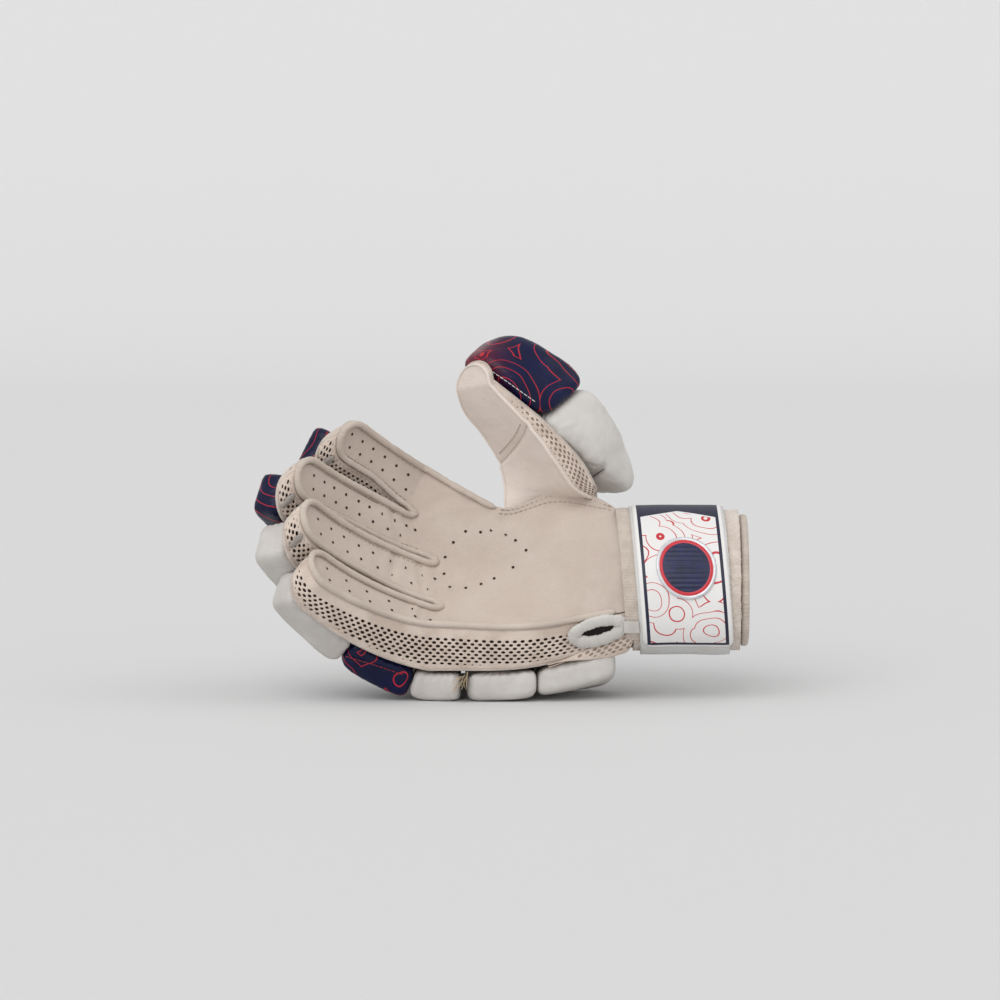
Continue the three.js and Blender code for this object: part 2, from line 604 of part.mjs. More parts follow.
// Point behind the back of the hand or of a finger, at a place from 0 to 2 along a column
function backPoint(digit, place, q, height) {
  const column = ((q + 1) / 2) * CELLS;
  const low = Math.min(CELLS - 1, Math.max(0, Math.floor(column)));
  const offsets = digit.backLines.map((line, index) => {
    const at = Math.min(1, place);
    const chord = mix(digit.backLines[0].getPoint(at), digit.backLines[CELLS].getPoint(at), index / CELLS);
    return line.getPoint(at).sub(chord);
  });
  const bulge = mix(offsets[low], offsets[low + 1], column - low);
  if (place < 1) {
    const ends = [digit.backLines[0], digit.backLines[CELLS]].map((line) => line.getPoint(place));
    const frame = frameBetween(...ends, new THREE.Vector3(-1, 0, 0));
    return ribbonPoint(frame, q, height).add(bulge);
  }
  const frame = digit.ribbons.back(place - 1);
  const start = digit.ribbons.back(0);
  const edge = [digit.backLines[0].getPoint(1), digit.backLines[CELLS].getPoint(1)];
  const skew = mix(edge[0], edge[1], (q + 1) / 2).sub(ribbonPoint(start, q, 0)).add(bulge);
  const settle = Math.max(0, 1 - (place - 1) / FINGER_SETTLE) ** 2;
  return ribbonPoint({ ...frame, half: frame.fullHalf }, q, height).addScaledVector(skew, settle);
}

function addRolls() {
  digits.forEach((digit) => {
    const columns = Array.from({ length: CELLS + 1 }, (_, cell) => digit.column + cell);
    digit.backLines = columns.map((column) => new THREE.CatmullRomCurve3(backHand.map((row) => row[column])));
    const pointAt = (place, q, height) => backPoint(digit, place, q, height - ROLL_GAP);
    ROLL_PLACES.forEach(({ from, to, size, width }, number) => {
      const name = `${digit.name}_pad_${number + 1}`;
      const material = NAVY_ROLLS.includes(name) ? MATERIALS.navy : MATERIALS.white;
      addPiece(name, trimmed(rollSolid(pointAt, from, to, digit[size], width), [grownBack]), material);
    });
  });
  // The thumb's rolls keep its own direction right down to the hand
  const first = 1 / THUMB_SECTIONS.length;
  const sectionLength = thumbBackFrame(first).centre.distanceTo(thumbBackFrame(2 * first).centre);
  const thumbPoint = (place, q, height) => {
    const frame = thumbBackFrame(Math.max(first, place));
    const below = (Math.min(0, place - first) / first) * sectionLength;
    return ribbonPoint({ ...frame, half: frame.fullHalf }, q, height).addScaledVector(frame.along, below);
  };
  for (const { name, from, to, startThickness, endThickness, lift } of THUMB_ROLLS) {
    const material = NAVY_ROLLS.includes(name) ? MATERIALS.navy : MATERIALS.white;
    const scaled = (place, q, height) => {
      const share = THREE.MathUtils.clamp((place - from) / (to - from), 0, 1);
      const reach = q * THUMB_ROLL_REACH.width + THUMB_ROLL_REACH.shift;
      const thickness = THREE.MathUtils.lerp(startThickness, endThickness, share);
      return thumbPoint(place, reach, lift - ROLL_GAP + height * thickness);
    };
    addPiece(name, trimmed(rollSolid(scaled, from, to, 1, 1), [grownBack, grownThumbBack]), material);
  }
}

// Rolled leather edge that lies on the rim of a finger front
function pipingSolid(digit, radius) {
  const section = new THREE.Shape().absarc(0, 0, radius, 0, 2 * Math.PI);
  const places = digitRows(digit.length, digit.tipHalf);
  const last = places.length - 1;
  const outline = (row, column) => {
    const edge = digit.front[row][column];
    const inward = digit.front[row][CELLS / 2].clone().sub(edge).setLength(PIPING_INSET);
    const height = digit.ribbons.front(places[row]).normal.clone().multiplyScalar(PIPING_RADIUS + SEAM_GAP);
    return edge.clone().add(inward).add(height);
  };
  const rows = Array.from({ length: last - 1 }, (_, index) => index + 1);
  const tip = mix(outline(last, 0), outline(last, CELLS), 0.5);
  const points = [...rows.map((row) => outline(row, 0)), tip, ...rows.map((row) => outline(row, CELLS)).reverse()];
  const extrudePath = new THREE.CatmullRomCurve3(points);
  const settings = { steps: PIPING_STEPS, extrudePath, curveSegments: PIPING_CURVE };
  return cleaned(new THREE.ExtrudeGeometry(section, settings));
}
const grownPipings = digits.map((digit) => toManifold(pipingSolid(digit, PIPING_RADIUS + TRIM_GAP)));

function addPiping() {
  digits.forEach((digit, index) => {
    const before = grownPipings.slice(0, index);
    const solid = trimmed(pipingSolid(digit, PIPING_RADIUS), [grownPalm, ...before]);
    addPiece(`piping_${digit.name}`, solid, MATERIALS.leather);
  });
}

// Shared vertices merged, with only positions left
function cleaned(geometry) {
  geometry.deleteAttribute("normal");
  geometry.deleteAttribute("uv");
  return mergeVertices(geometry, 1e-3);
}

// A ring round the wrist tube between two places along X, or a part of one between two angles
function wristBand({ from, to, outer, thickness, start = 0, end = 360, sides = 28 }) {
  const closed = end - start >= 360;
  const net = grid(1, sides, (along, around) => {
    const x = THREE.MathUtils.lerp(from, to, along);
    const angle = closed && around === 1 ? start : THREE.MathUtils.lerp(start, end, around);
    return wristPoint(x, angle, outer);
  });
  return sheetSolid([net], thickness);
}

function addCuff() {
  const cuffOuter = -LEATHER - SEAM_GAP;
  const strapOuter = cuffOuter + SEAM_GAP + STRAP.thickness;
  const patchOuter = strapOuter + PATCH.lift;
  const cuffEdge = CUFF.to - BINDING.width;
  const bands = [
    { name: "cuff", from: CUFF.from, to: cuffEdge, outer: cuffOuter, thickness: CUFF.thickness, material: "knit" },
    {
      name: "cuff_binding",
      from: cuffEdge + SEAM_GAP,
      to: CUFF.to,
      outer: cuffOuter + BINDING.lift,
      thickness: BINDING.thickness,
      material: "leather",
    },
    { ...STRAP, name: "strap", outer: strapOuter, material: "white" },
    {
      ...PATCH,
      name: "strap_patch",
      from: STRAP.from + PATCH.margin,
      to: STRAP.to - PATCH.margin,
      outer: patchOuter,
      material: "white",
    },
  ];
  bands.forEach((band) => addPiece(band.name, wristBand(band), MATERIALS[band.material]));
  addPiece("strap_badge", badgeSolid(patchOuter + SEAM_GAP), MATERIALS.badge);
}

// Oval badge, a low dome that follows the wrist tube
function badgeSolid(offset) {
  const layer = (heightOf) =>
    BADGE_DOME.map((ring) =>
      Array.from({ length: BADGE.sides + 1 }, (_, side) => {
        const turn = ((side % BADGE.sides) / BADGE.sides) * 2 * Math.PI;
        const x = BADGE.x + BADGE.along * ring.reach * Math.cos(turn);
        const angle = BADGE.angle + BADGE.degrees * ring.reach * Math.sin(turn);
        return wristPoint(x, angle, heightOf(ring));
      }),
    );
  const top = layer((ring) => offset + BADGE.height * ring.height);
  const bottom = layer(() => offset);
  const last = BADGE_DOME.length - 1;
  return netsSolid([top, [top[last], bottom[last]], [...bottom].reverse()]);
}

// One closed solid from nets that already meet all round
function netsSolid(nets) {
  const points = [];
  const places = new Map();
  const indexOf = (point) => {
    const key = point.toArray().map((value) => Math.round(value * 1000)).join();
    if (!places.has(key)) {
      places.set(key, points.length);
      points.push(point);
    }
    return places.get(key);
  };
  const faces = [];
  for (const net of nets) {
    for (let r = 0; r + 1 < net.length; r++) {
      for (let c = 0; c + 1 < net[r].length; c++) {
        const corners = [net[r][c], net[r][c + 1], net[r + 1][c + 1], net[r + 1][c]].map(indexOf);
        for (const [a, b, d] of [[0, 1, 2], [0, 2, 3]]) {
          const face = [corners[a], corners[b], corners[d]];
          if (new Set(face).size === 3) faces.push(face);
        }
      }
    }
  }
  return solidGeometry(points, faces);
}

addSheets();
addWalls();
addRolls();
addPiping();
addCuff();

// Stand the glove: lean it back, press its rolls on the ground and centre it on the origin
function standGlove() {
  const lean = new THREE.Matrix4().makeRotationX(-LEAN);
  glove.children.forEach((mesh) => mesh.geometry.applyMatrix4(lean));
  const box = new THREE.Box3().setFromObject(glove);
  const centre = box.getCenter(new THREE.Vector3());
  const shift = new THREE.Matrix4().makeTranslation(-centre.x, -centre.y, -box.min.z - FLOOR_PRESS);
  for (const mesh of glove.children) {
    mesh.geometry.applyMatrix4(shift);
    const position = mesh.geometry.getAttribute("position");
    for (let index = 0; index < position.count; index++) {
      position.setZ(index, Math.max(0, position.getZ(index)));
    }
  }
}
standGlove();

export default glove;
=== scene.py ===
"""Looks of a right-hand cricket batting glove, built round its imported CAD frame.

Everything is laid out as the glove's palm side is seen, in millimetres: X runs from the finger tips to
the cuff, Z goes up towards the thumb and Y goes away from the viewer. The stand function then leans the
glove back, moves it to the row frame and turns millimetres to metres.
"""

import math

import bpy
import numpy as np
from bpy.props import FloatProperty, IntProperty, PointerProperty, StringProperty
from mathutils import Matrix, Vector
from numpy.polynomial.polynomial import polyfit, polyval


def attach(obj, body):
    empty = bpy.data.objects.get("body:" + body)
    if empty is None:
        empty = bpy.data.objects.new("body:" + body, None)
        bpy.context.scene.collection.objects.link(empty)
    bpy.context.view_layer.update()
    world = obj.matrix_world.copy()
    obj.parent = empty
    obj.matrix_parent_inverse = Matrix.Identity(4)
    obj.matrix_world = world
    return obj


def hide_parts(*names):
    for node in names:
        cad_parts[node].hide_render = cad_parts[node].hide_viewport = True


bl_info = {
    "name": "Cricket batting glove",
    "version": (1, 0, 0),
    "blender": (4, 5, 0),
    "location": "3D View > Sidebar > Glove",
    "description": "Leather, mesh, rolls and cuff of a right-hand batting glove",
    "category": "Add Mesh",
}

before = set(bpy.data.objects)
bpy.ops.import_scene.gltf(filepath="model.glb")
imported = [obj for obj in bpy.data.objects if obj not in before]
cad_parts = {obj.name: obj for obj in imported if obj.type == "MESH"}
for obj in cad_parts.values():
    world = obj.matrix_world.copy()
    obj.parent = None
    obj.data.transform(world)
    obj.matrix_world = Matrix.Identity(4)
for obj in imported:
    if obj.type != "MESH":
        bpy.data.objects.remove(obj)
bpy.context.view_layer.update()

MM = 0.001
LEAN = math.radians(6)
# Where the row frame's origin puts the layout's own origin, in millimetres
STAND_SHIFT = np.array([-4.39547, -15.47945, -4.23357])
# One pixel of the photograph and the pixel of the layout's origin
PIXEL_MM = 0.45
ORIGIN_PIXEL = (496, 708)

# Thickness of leather and lining, and how far two fingers stand apart at their root, in millimetres
LEATHER = 1.6
LINING = 1.4
CROTCH_WIDTH = 3.0
WRIST = {"y": 8, "z": 57.5, "half_width": 33, "half_depth": 23.6, "tilt": math.radians(30)}
WRIST_EDGE_X = 59
WRIST_LEAN = 0.08
# Parts of the wrist from their hand side to their open side, along X
CUFF_SPAN = (59.4, 109.6)
STRAP_SPAN = (62.5, 104.6)
TAB_SPAN = (55.5, 62.4)
RIB_SPAN = (56.5, 63.5)
HEM_X = 111.6
# The strap's printed panel: middle, half length and first edge along X
PANEL_MIDDLE, PANEL_HALF, PANEL_EDGE = 83.9, 19.9, 64

# Lines of the palm and of the back, from the wrist oval to the knuckles: the oval's angle, then points
FRONT_LINES = [
    (138, [(15, -21, 36), (-30, -18, 37)]),
    (115, [(13, -9, 46), (-26, -4.5, 45.5)]),
    (90, [(11, 2.5, 61), (-28.4, 12.5, 65.7)]),
    (62, [(9, 9, 77), (-38.7, 20, 87.8)]),
    (28, [(46, 15, 94.5), (28.8, 16, 98), (4, 15, 90), (-11.7, 19, 96.8), (-32, 28, 108.5)]),
]
BACK_LINES = [
    (172, [(15, -15, 18.5), (-30, -12, 17)]),
    (215, [(13, 10, 19.6), (-28, 13, 18.6)]),
    (255, [(11, 28, 31.5), (-31, 30, 31.5)]),
    (295, [(9, 38, 53), (-37, 41, 56)]),
    (332, [(46, 34, 79), (28.8, 38, 79.5), (4, 42, 78.5), (-11.7, 45, 80.5), (-32, 49, 84.9)]),
]
# Fingers as in the CAD: curl and splay in degrees, the rest in millimetres
FINGERS = {
    "little": dict(length=67, curl=(18, 50), splay=0, roll=-14, half=10.5, depth=10, turn=25, shift=-3,
                   bare=0.5, rolls=(13, 15.5, 18)),
    "ring": dict(length=79, curl=(18, 60), splay=6, roll=-6, half=11.5, depth=8.5, turn=6, shift=-5,
                 bare=3.0, rolls=(20, 16, 20)),
    "middle": dict(length=76, curl=(18, 60), splay=15, roll=0, half=11.5, depth=8, turn=0, shift=-6,
                   bare=3.2, rolls=(16, 15, 16)),
    "index": dict(length=53, curl=(20, 60), splay=27, roll=-12, half=12, depth=7.5, turn=0, shift=-7,
                  bare=4.2, rolls=(13, 12, 11)),
}
# Sections of the thumb: inner edge, outer edge and depth of the back behind them
THUMB_SECTIONS = [
    ((4, 18.6, 89.5), (46, 19, 93.5), 30),
    ((4, 23, 100), (35, 3, 99), 20),
    ((1, 25, 111.6), (27, -3, 110), 12.5),
    ((-6, 24, 123), (18.5, -5, 122), 9),
    ((-14.5, 20, 134), (7.2, -6, 135), 6),
    ((-17.5, 14, 143), (-3.2, -5, 146), 3.5),
]
THUMB_TIP = (-10.8, 3, 154.5)
# Place of the thumb's cross seam, from 0 at its root to 1 at its tip
THUMB_SEAM = 0.5
# Rolls: where each starts and ends along a column (0 wrist, 1 knuckles, 2 tip), which size, width share
ROLL_PLACES = [(0.08, 0.459, 0, 0.96), (0.461, 0.812, 0, 0.96), (0.843, 1.084, 0, 0.95),
               (1.086, 1.464, 1, 0.9), (1.466, 1.93, 2, 0.86)]
# Which of the finger rolls carries the red stitches, counted from 0
NAVY_PIECE = 3
NAVY_ROLLS = ("little_pad_4", "ring_pad_4", "middle_pad_5", "index_pad_5", "thumb_pad_tip")
# The thumb's rolls: place of both ends, thickness at start, middle and end, gap to the sheet, roundness
THUMB_ROLLS = [("thumb_pad_base", 0.0, 0.536, (12, 27, 30), -0.6, (0.45, 0.2)),
               ("thumb_pad_tip", 0.537, 1.0, (30, 30, 25), 0.8, (0.2, 0.45))]


# Numbers on whole arrays

def linear(hex_colour, alpha=1.0):
    """sRGB hex to linear RGBA: c/12.92 below 0.04045, else ((c + 0.055) / 1.055) to the power 2.4."""
    value = np.array([int(hex_colour[i:i + 2], 16) for i in (1, 3, 5)]) / 255
    low = value / 12.92
    high = ((value + 0.055) / 1.055) ** 2.4
    return (*np.where(value <= 0.04045, low, high), alpha)


def spline(points, t):
    """Centripetal Catmull-Rom curve through points (n, ..., 3) at shares t (m,) of its length in points.

    Knot spacing is the square root of each chord, and each end is carried on by its own first chord."""
    points = np.asarray(points, float)
    t = np.clip(np.asarray(t, float), 0, 1) * (len(points) - 1)
    index = np.minimum(t.astype(int), len(points) - 2)
    weight = (t - index).reshape(t.shape + (1,) * (points.ndim - 1))
    padded = np.concatenate([[2 * points[0] - points[1]], points, [2 * points[-1] - points[-2]]])
    p0, p1, p2, p3 = (padded[index + k] for k in range(4))
    gap = [np.sqrt(np.linalg.norm(b - a, axis=-1, keepdims=True)) + 1e-9
           for a, b in ((p0, p1), (p1, p2), (p2, p3))]
    m1 = ((p1 - p0) / gap[0] - (p2 - p0) / (gap[0] + gap[1]) + (p2 - p1) / gap[1]) * gap[1]
    m2 = ((p2 - p1) / gap[1] - (p3 - p1) / (gap[1] + gap[2]) + (p3 - p2) / gap[2]) * gap[1]
    w, w2, w3 = weight, weight ** 2, weight ** 3
    return p1 * (2 * w3 - 3 * w2 + 1) + m1 * (w3 - 2 * w2 + w) + p2 * (3 * w2 - 2 * w3) + m2 * (w3 - w2)


def unit(vectors):
    """Each vector over its own length."""
    return vectors / (np.linalg.norm(vectors, axis=-1, keepdims=True) + 1e-12)


def value_noise(points, size):
    """Smooth noise from -1 to 1: random numbers on a lattice of that size, blended by 3t^2 - 2t^3."""
    scaled = np.asarray(points, float) / size
    cell = np.floor(scaled)
    t = scaled - cell
    t = t * t * (3 - 2 * t)
    total = np.zeros(scaled.shape[:-1])
    for corner in np.ndindex(2, 2, 2):
        at = cell + corner
        seed = np.sin(at @ np.array([127.1, 311.7, 74.7])) * 43758.5453
        share = np.prod(np.where(corner, t, 1 - t), axis=-1)
        total += share * (seed - np.floor(seed))
    return total * 2 - 1


def turns(count):
    """Angles evenly round a circle, from 0."""
    return np.linspace(0, 2 * math.pi, count, endpoint=False)


def smoothstep(low, high, x):
    """0 below low, 1 above high, and 3t^2 - 2t^3 between."""
    t = np.clip((np.asarray(x, float) - low) / (high - low), 0, 1)
    return t * t * (3 - 2 * t)


def seen(px, pz):
    """Layout X and Z of a pixel of the photograph."""
    return (px - ORIGIN_PIXEL[0]) * PIXEL_MM, (ORIGIN_PIXEL[1] - pz) * PIXEL_MM


def stand(points):
    """Layout points leant back about X, moved to the row frame, in metres and never under the ground."""
    x, y, z = np.moveaxis(np.asarray(points, float), -1, 0)
    c, s = math.cos(LEAN), math.sin(LEAN)
    placed = np.stack([x, y * c + z * s, z * c - y * s], axis=-1) + STAND_SHIFT
    placed[..., 2] = np.maximum(placed[..., 2], 0)
    return placed * MM


def net_normals(net):
    """Unit normals of a grid (rows, columns, 3): across the columns times along the rows."""
    along = np.gradient(net, axis=0)
    across = np.gradient(net, axis=1)
    return unit(np.cross(across, along))


def distance_along(path):
    """Distance from a path's first point to each of its points."""
    return np.concatenate([[0], np.cumsum(np.linalg.norm(np.diff(path, axis=0), axis=1))])


def read_along(at, length, values):
    """Rows of values (n, 3), known at the distances in length, read at other distances."""
    return np.stack([np.interp(at, length, values[:, k]) for k in range(3)], axis=-1)


# Meshes

def grid_faces(rows, columns, closed=False):
    """Faces of a grid of rows by columns of points, joined round the columns if closed."""
    wide = columns if closed else columns - 1
    r, c = np.meshgrid(np.arange(rows - 1), np.arange(wide), indexing="ij")
    n = (c + 1) % columns
    low, high = r * columns, (r + 1) * columns
    return np.stack([low + c, low + n, high + n, high + c], axis=-1).reshape(-1, 4)


def ring_faces(rows, columns):
    """Faces of a grid that is joined both round its columns and round its rows."""
    return grid_faces(rows + 1, columns, closed=True) % (rows * columns)


def net_shape(net, turned_round=False):
    """Points and faces of an open net (rows, columns, 3)."""
    faces = grid_faces(*net.shape[:2])
    return net.reshape(-1, 3), reversed_faces(faces) if turned_round else faces.tolist()


def welded(points, faces):
    """Points nearer than a thousandth of a millimetre made one, and faces that collapse left out."""
    _, first, inverse = np.unique(np.round(points, 3), axis=0, return_index=True, return_inverse=True)
    faces = inverse.reshape(-1)[np.asarray(faces)]
    kept = []
    for face in faces.tolist():
        ring = [v for i, v in enumerate(face) if v != face[i - 1]]
        if len(ring) > 2:
            kept.append(ring)
    return points[first], kept


def reversed_faces(faces):
    """Each face with its corners the other way round."""
    return [list(face)[::-1] for face in faces]


def outward(points, faces):
    """Faces turned round if the closed shape's signed volume is below zero."""
    triangles = np.array([(f[0], f[i], f[i + 1]) for f in faces for i in range(1, len(f) - 1)])
    a, b, c = (points[triangles[:, i]] for i in range(3))
    if np.einsum("ij,ij->", a, np.cross(b, c)) < 0:
        return reversed_faces(faces)
    return faces


def add_object(name, points, faces, materials, uv=None, index=None):
    """A smooth mesh object of layout points and faces, stood in the row frame."""
    mesh = bpy.data.meshes.new(name)
    mesh.from_pydata(stand(points).tolist(), [], [list(map(int, face)) for face in faces])
    for material in materials:
        mesh.materials.append(material)
    if index is not None:
        mesh.polygons.foreach_set("material_index", np.asarray(index, np.int32))
    if uv is not None:
        layer = mesh.uv_layers.new(name="UVMap")
        corners = np.zeros(len(mesh.loops), np.int32)
        mesh.loops.foreach_get("vertex_index", corners)
        layer.data.foreach_set("uv", np.asarray(uv, float)[corners].reshape(-1))
    mesh.polygons.foreach_set("use_smooth", np.ones(len(mesh.polygons), bool))
    mesh.validate()
    mesh.update()
    made = bpy.data.objects.new(name, mesh)
    bpy.context.scene.collection.objects.link(made)
    return made


def part(name, shape, finishes, nodes=(), wall=0.0, levels=0, uv=None, index=None):
    """A piece from (points, faces): it rides on the glove, takes the finishes it is given, stands for CAD
    nodes and, where a wall is given, has that thickness in millimetres and then levels of subdivision."""
    piece = add_object(name, *shape, finishes, uv, index)
    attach(piece, "root")
    if nodes:
        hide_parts(*nodes)
    if wall:
        solid = piece.modifiers.new("Wall", "SOLIDIFY")
        solid.thickness = wall * MM
        solid.offset = -1
        solid.use_even_offset = False
    if levels:
        smooth = piece.modifiers.new("Smooth", "SUBSURF")
        smooth.levels = smooth.render_levels = levels
    return piece


def set_points(mesh, points):
    """Moves a mesh's points to places in metres, none of them under the ground."""
    points[:, 2] = np.maximum(points[:, 2], 0)
    mesh.vertices.foreach_set("co", points.reshape(-1))
    mesh.update()


def baked(piece):
    """Live modifiers turned into the piece's own mesh."""
    bpy.context.view_layer.update()
    graph = bpy.context.evaluated_depsgraph_get()
    mesh = bpy.data.meshes.new_from_object(piece.evaluated_get(graph))
    old = piece.data
    piece.modifiers.clear()
    piece.data = mesh
    bpy.data.meshes.remove(old)
    return piece


def tube(path, radius, sides=10, squash=1.0, up=None, taper=0.0):
    """Round or squashed tube along a path (n, 3): a ring of sides at each point, its ends closed and, over
    taper points, drawn in by the square root of the share of the way.

    Each ring is centre + radius * (cos * side + squash * sin * normal), where side is the path's own
    direction crossed with up."""
    path = np.asarray(path, float)
    along = unit(np.gradient(path, axis=0))
    up = np.broadcast_to(np.array([0, -1.0, 0.2]) if up is None else up, path.shape)
    side = unit(np.cross(along, up))
    normal = np.cross(side, along)
    share = np.linspace(0, 1, len(path))
    edge = np.minimum(share, 1 - share) * (len(path) - 1)
    swell = np.sqrt(np.clip(edge / max(taper, 1e-6), 0, 1)) if taper else np.ones(len(path))
    swell = np.maximum(swell, 0.02)
    turn = turns(sides)
    reach = (np.broadcast_to(radius, share.shape) * swell)[:, None, None]
    rings = path[:, None] + reach * (np.cos(turn)[None, :, None] * side[:, None]
                                     + squash * np.sin(turn)[None, :, None] * normal[:, None])
    points = np.concatenate([rings.reshape(-1, 3), path[:1], path[-1:]])
    faces = grid_faces(len(path), sides, closed=True).tolist()
    count = len(path) * sides
    first = [[count, (i + 1) % sides, i] for i in range(sides)]
    last = [[count + 1, count - sides + i, count - sides + (i + 1) % sides] for i in range(sides)]
    return points, outward(points, faces + first + last)


def resampled(path, step):
    """The path again, with points an even step apart along it."""
    length = distance_along(path)
    count = max(2, int(round(length[-1] / step)) + 1)
    return read_along(np.linspace(0, length[-1], count), length, path)


def joined(shapes):
    """Several (points, faces) as one."""
    points, faces, start = [], [], 0
    for shape_points, shape_faces in shapes:
        points.append(shape_points)
        faces += [[v + start for v in face] for face in shape_faces]
        start += len(shape_points)
    return np.concatenate(points), faces


def stitches(path, normals, pitch=2.3, length=1.7, radius=0.24, lift=0.05):
    """A run of stitches: short rounded grains of thread along a path, half sunk in the leather."""
    size = distance_along(path)
    at = np.arange(pitch / 2, size[-1] - pitch / 2, pitch)
    middles, fronts, backs = (read_along(at + move, size, path) for move in (0, length / 2, -length / 2))
    shapes = []
    for middle, front, back, normal in zip(middles, fronts, backs, unit(read_along(at, size, normals))):
        low, high = normal * (lift - radius), normal * lift * 1.5
        ends = np.array([back + low, back * 0.7 + middle * 0.3 + high,
                         middle + normal * (lift + radius * 0.5),
                         front * 0.7 + middle * 0.3 + high, front + low])
        shapes.append(tube(ends, radius, sides=6, up=normal))
    return joined(shapes)


# The hand, the fingers and the thumb as smooth nets, from the same numbers as the CAD

def wrist_point(x, degrees, offset=0.0):
    """Oval wrist tube: centre + (half width + offset) cos + (half depth + offset) sin, turned by its tilt
    and leant by WRIST_LEAN."""
    x, degrees, offset = np.broadcast_arrays(x, degrees, offset)
    angle = np.radians(degrees)
    across = (WRIST["half_width"] + offset) * np.cos(angle)
    out = (WRIST["half_depth"] + offset) * np.sin(angle)
    c, s = math.cos(WRIST["tilt"]), math.sin(WRIST["tilt"])
    y = WRIST["y"] + across * s - out * c
    z = WRIST["z"] + across * c + out * s
    return np.stack([x - WRIST_LEAN * (z - WRIST["z"]), y, z], axis=-1)


# Cells of the nets: across a finger, across the gap between two, down the hand and down a finger
CELLS = 20
GAP_CELLS = 4
HAND_ROWS = 84
FINGER_ROWS = 60


def hand_net(lines):
    """Sections across the hand, each a curve through its five lines. Returns the net and its columns."""
    along = np.linspace(0, 1, HAND_ROWS + 1)
    curves = np.stack([spline([wrist_point(WRIST_EDGE_X, angle), *points], along)
                       for angle, points in lines])
    knuckles = curves[:, -1]
    places, starts = [], []
    for k in range(4):
        slack = CROTCH_WIDTH / 2 / np.linalg.norm(knuckles[k + 1] - knuckles[k])
        low, high = k + (slack if k else 0), k + 1 - (slack if k < 3 else 0)
        if k:
            places += np.linspace(places[-1], low, GAP_CELLS + 1)[1:-1].tolist()
        starts.append(len(places))
        places += np.linspace(low, high, CELLS + 1).tolist()
    return np.moveaxis(spline(curves, np.array(places) / 4), 0, 1), starts


def ribbon(frame_at, q, h=0.0):
    """centre + q * half * across + h * normal, for places down the rows and q across the columns."""
    centre, across, normal, half = (frame_at[key] for key in ("centre", "across", "normal", "half"))
    q = np.asarray(q, float)
    return centre[..., None, :] + q[..., :, None] * half[..., None, None] * across[..., None, :] \
        + np.asarray(h, float)[..., None] * normal[..., None, :]


def frame_between(left, right, along):
    """Frame of the chord between two edge points: its middle, its direction, and the normal to along."""
    across = right - left
    half = np.linalg.norm(across, axis=-1) / 2
    across = unit(across)
    return {"centre": (left + right) / 2, "across": across,
            "normal": unit(np.cross(across, along)), "half": half}


def turned(vector, axis, angle):
    """Vector turned about a unit axis by an angle (Rodrigues)."""
    c, s = math.cos(angle), math.sin(angle)
    return vector * c + np.cross(axis, vector) * s + axis * (axis @ vector) * (1 - c)


class Finger:
    """Front and back ribbons of one finger. Both curl on one circle; the back starts on the knuckle edge
    of the back and fades by (1 - place)^1.4 to its own depth, turn and shift at the tip."""

    def __init__(self, size, front_base, back_base):
        along = np.array([-1.0, 0, 0])
        base = frame_between(front_base[0], front_base[-1], along)
        self.size = size
        self.normal = turned(base["normal"], along, math.radians(size["roll"]))
        square = np.cross(along, self.normal)
        self.base_half = base["half"] * (base["across"] @ square)
        self.centre = base["centre"]
        splay = math.radians(size["splay"])
        self.forward = along * math.cos(splay) + square * math.sin(splay)
        self.across = unit(np.cross(self.forward, self.normal))
        first = self.frame(np.array(0.0))
        back = frame_between(back_base[0], back_base[-1], first["along"])
        offset = back["centre"] - first["centre"]
        self.start = [offset @ first["across"], offset @ first["along"], -(offset @ first["normal"])]
        self.base_turn = math.atan2(back["across"] @ first["normal"], back["across"] @ first["across"])
        self.back_half = back["half"]

    def frame(self, place):
        """Frame on the curl circle:
        centre + radius (sin a - sin a0) forward + radius (cos a0 - cos a) normal."""
        place = np.asarray(place, float)
        start, end = np.radians(self.size["curl"])
        angle = start + (end - start) * place
        radius = self.size["length"] / (end - start)
        a, s = angle[..., None], start
        centre = self.centre + radius * (np.sin(a) - math.sin(s)) * self.forward \
            + radius * (math.cos(s) - np.cos(a)) * self.normal
        along = self.forward * np.cos(a) + self.normal * np.sin(a)
        normal = self.normal * np.cos(a) - self.forward * np.sin(a)
        half = self.base_half + (self.size["half"] - self.base_half) * place
        return {"centre": centre, "along": along, "normal": normal, "half": half,
                "across": np.broadcast_to(self.across, centre.shape)}

    def rounding(self, place):
        """Half circle at the tip: sqrt(1 - past^2)."""
        share = self.size["half"] / self.size["length"]
        past = np.clip((place - 1 + share) / share, 0, 1)
        return np.sqrt(1 - past ** 2)

    def front(self, place):
        """The front stops short of the finger's little-finger side, where the mesh comes round."""
        made = self.frame(place)
        cut = self.size["bare"] * smoothstep(0.02, 0.5, place)
        return {**made, "centre": made["centre"] + made["across"] * (cut / 2)[..., None],
                "half": (made["half"] - cut / 2) * self.rounding(place)}

    def back(self, place, full=False):
        """The back's own frame, with its round tip unless the full width is asked for."""
        made = self.frame(place)
        fade = (1 - np.clip(place, 0, 1)) ** 1.4
        f = fade[..., None]
        tip_turn = math.radians(self.size["turn"])
        turn = (tip_turn + (self.base_turn - tip_turn) * fade)[..., None]
        shift, depth = self.size["shift"], self.size["depth"]
        centre = made["centre"] + made["across"] * (shift + (self.start[0] - shift) * f) \
            + made["along"] * self.start[1] * f - made["normal"] * (depth + (self.start[2] - depth) * f)
        across = made["across"] * np.cos(turn) + made["normal"] * np.sin(turn)
        half = self.back_half + (self.size["half"] - self.back_half) * (1 - fade)
        return {"centre": centre, "across": across, "along": made["along"],
                "normal": unit(np.cross(across, made["along"])),
                "half": half if full else half * self.rounding(place)}


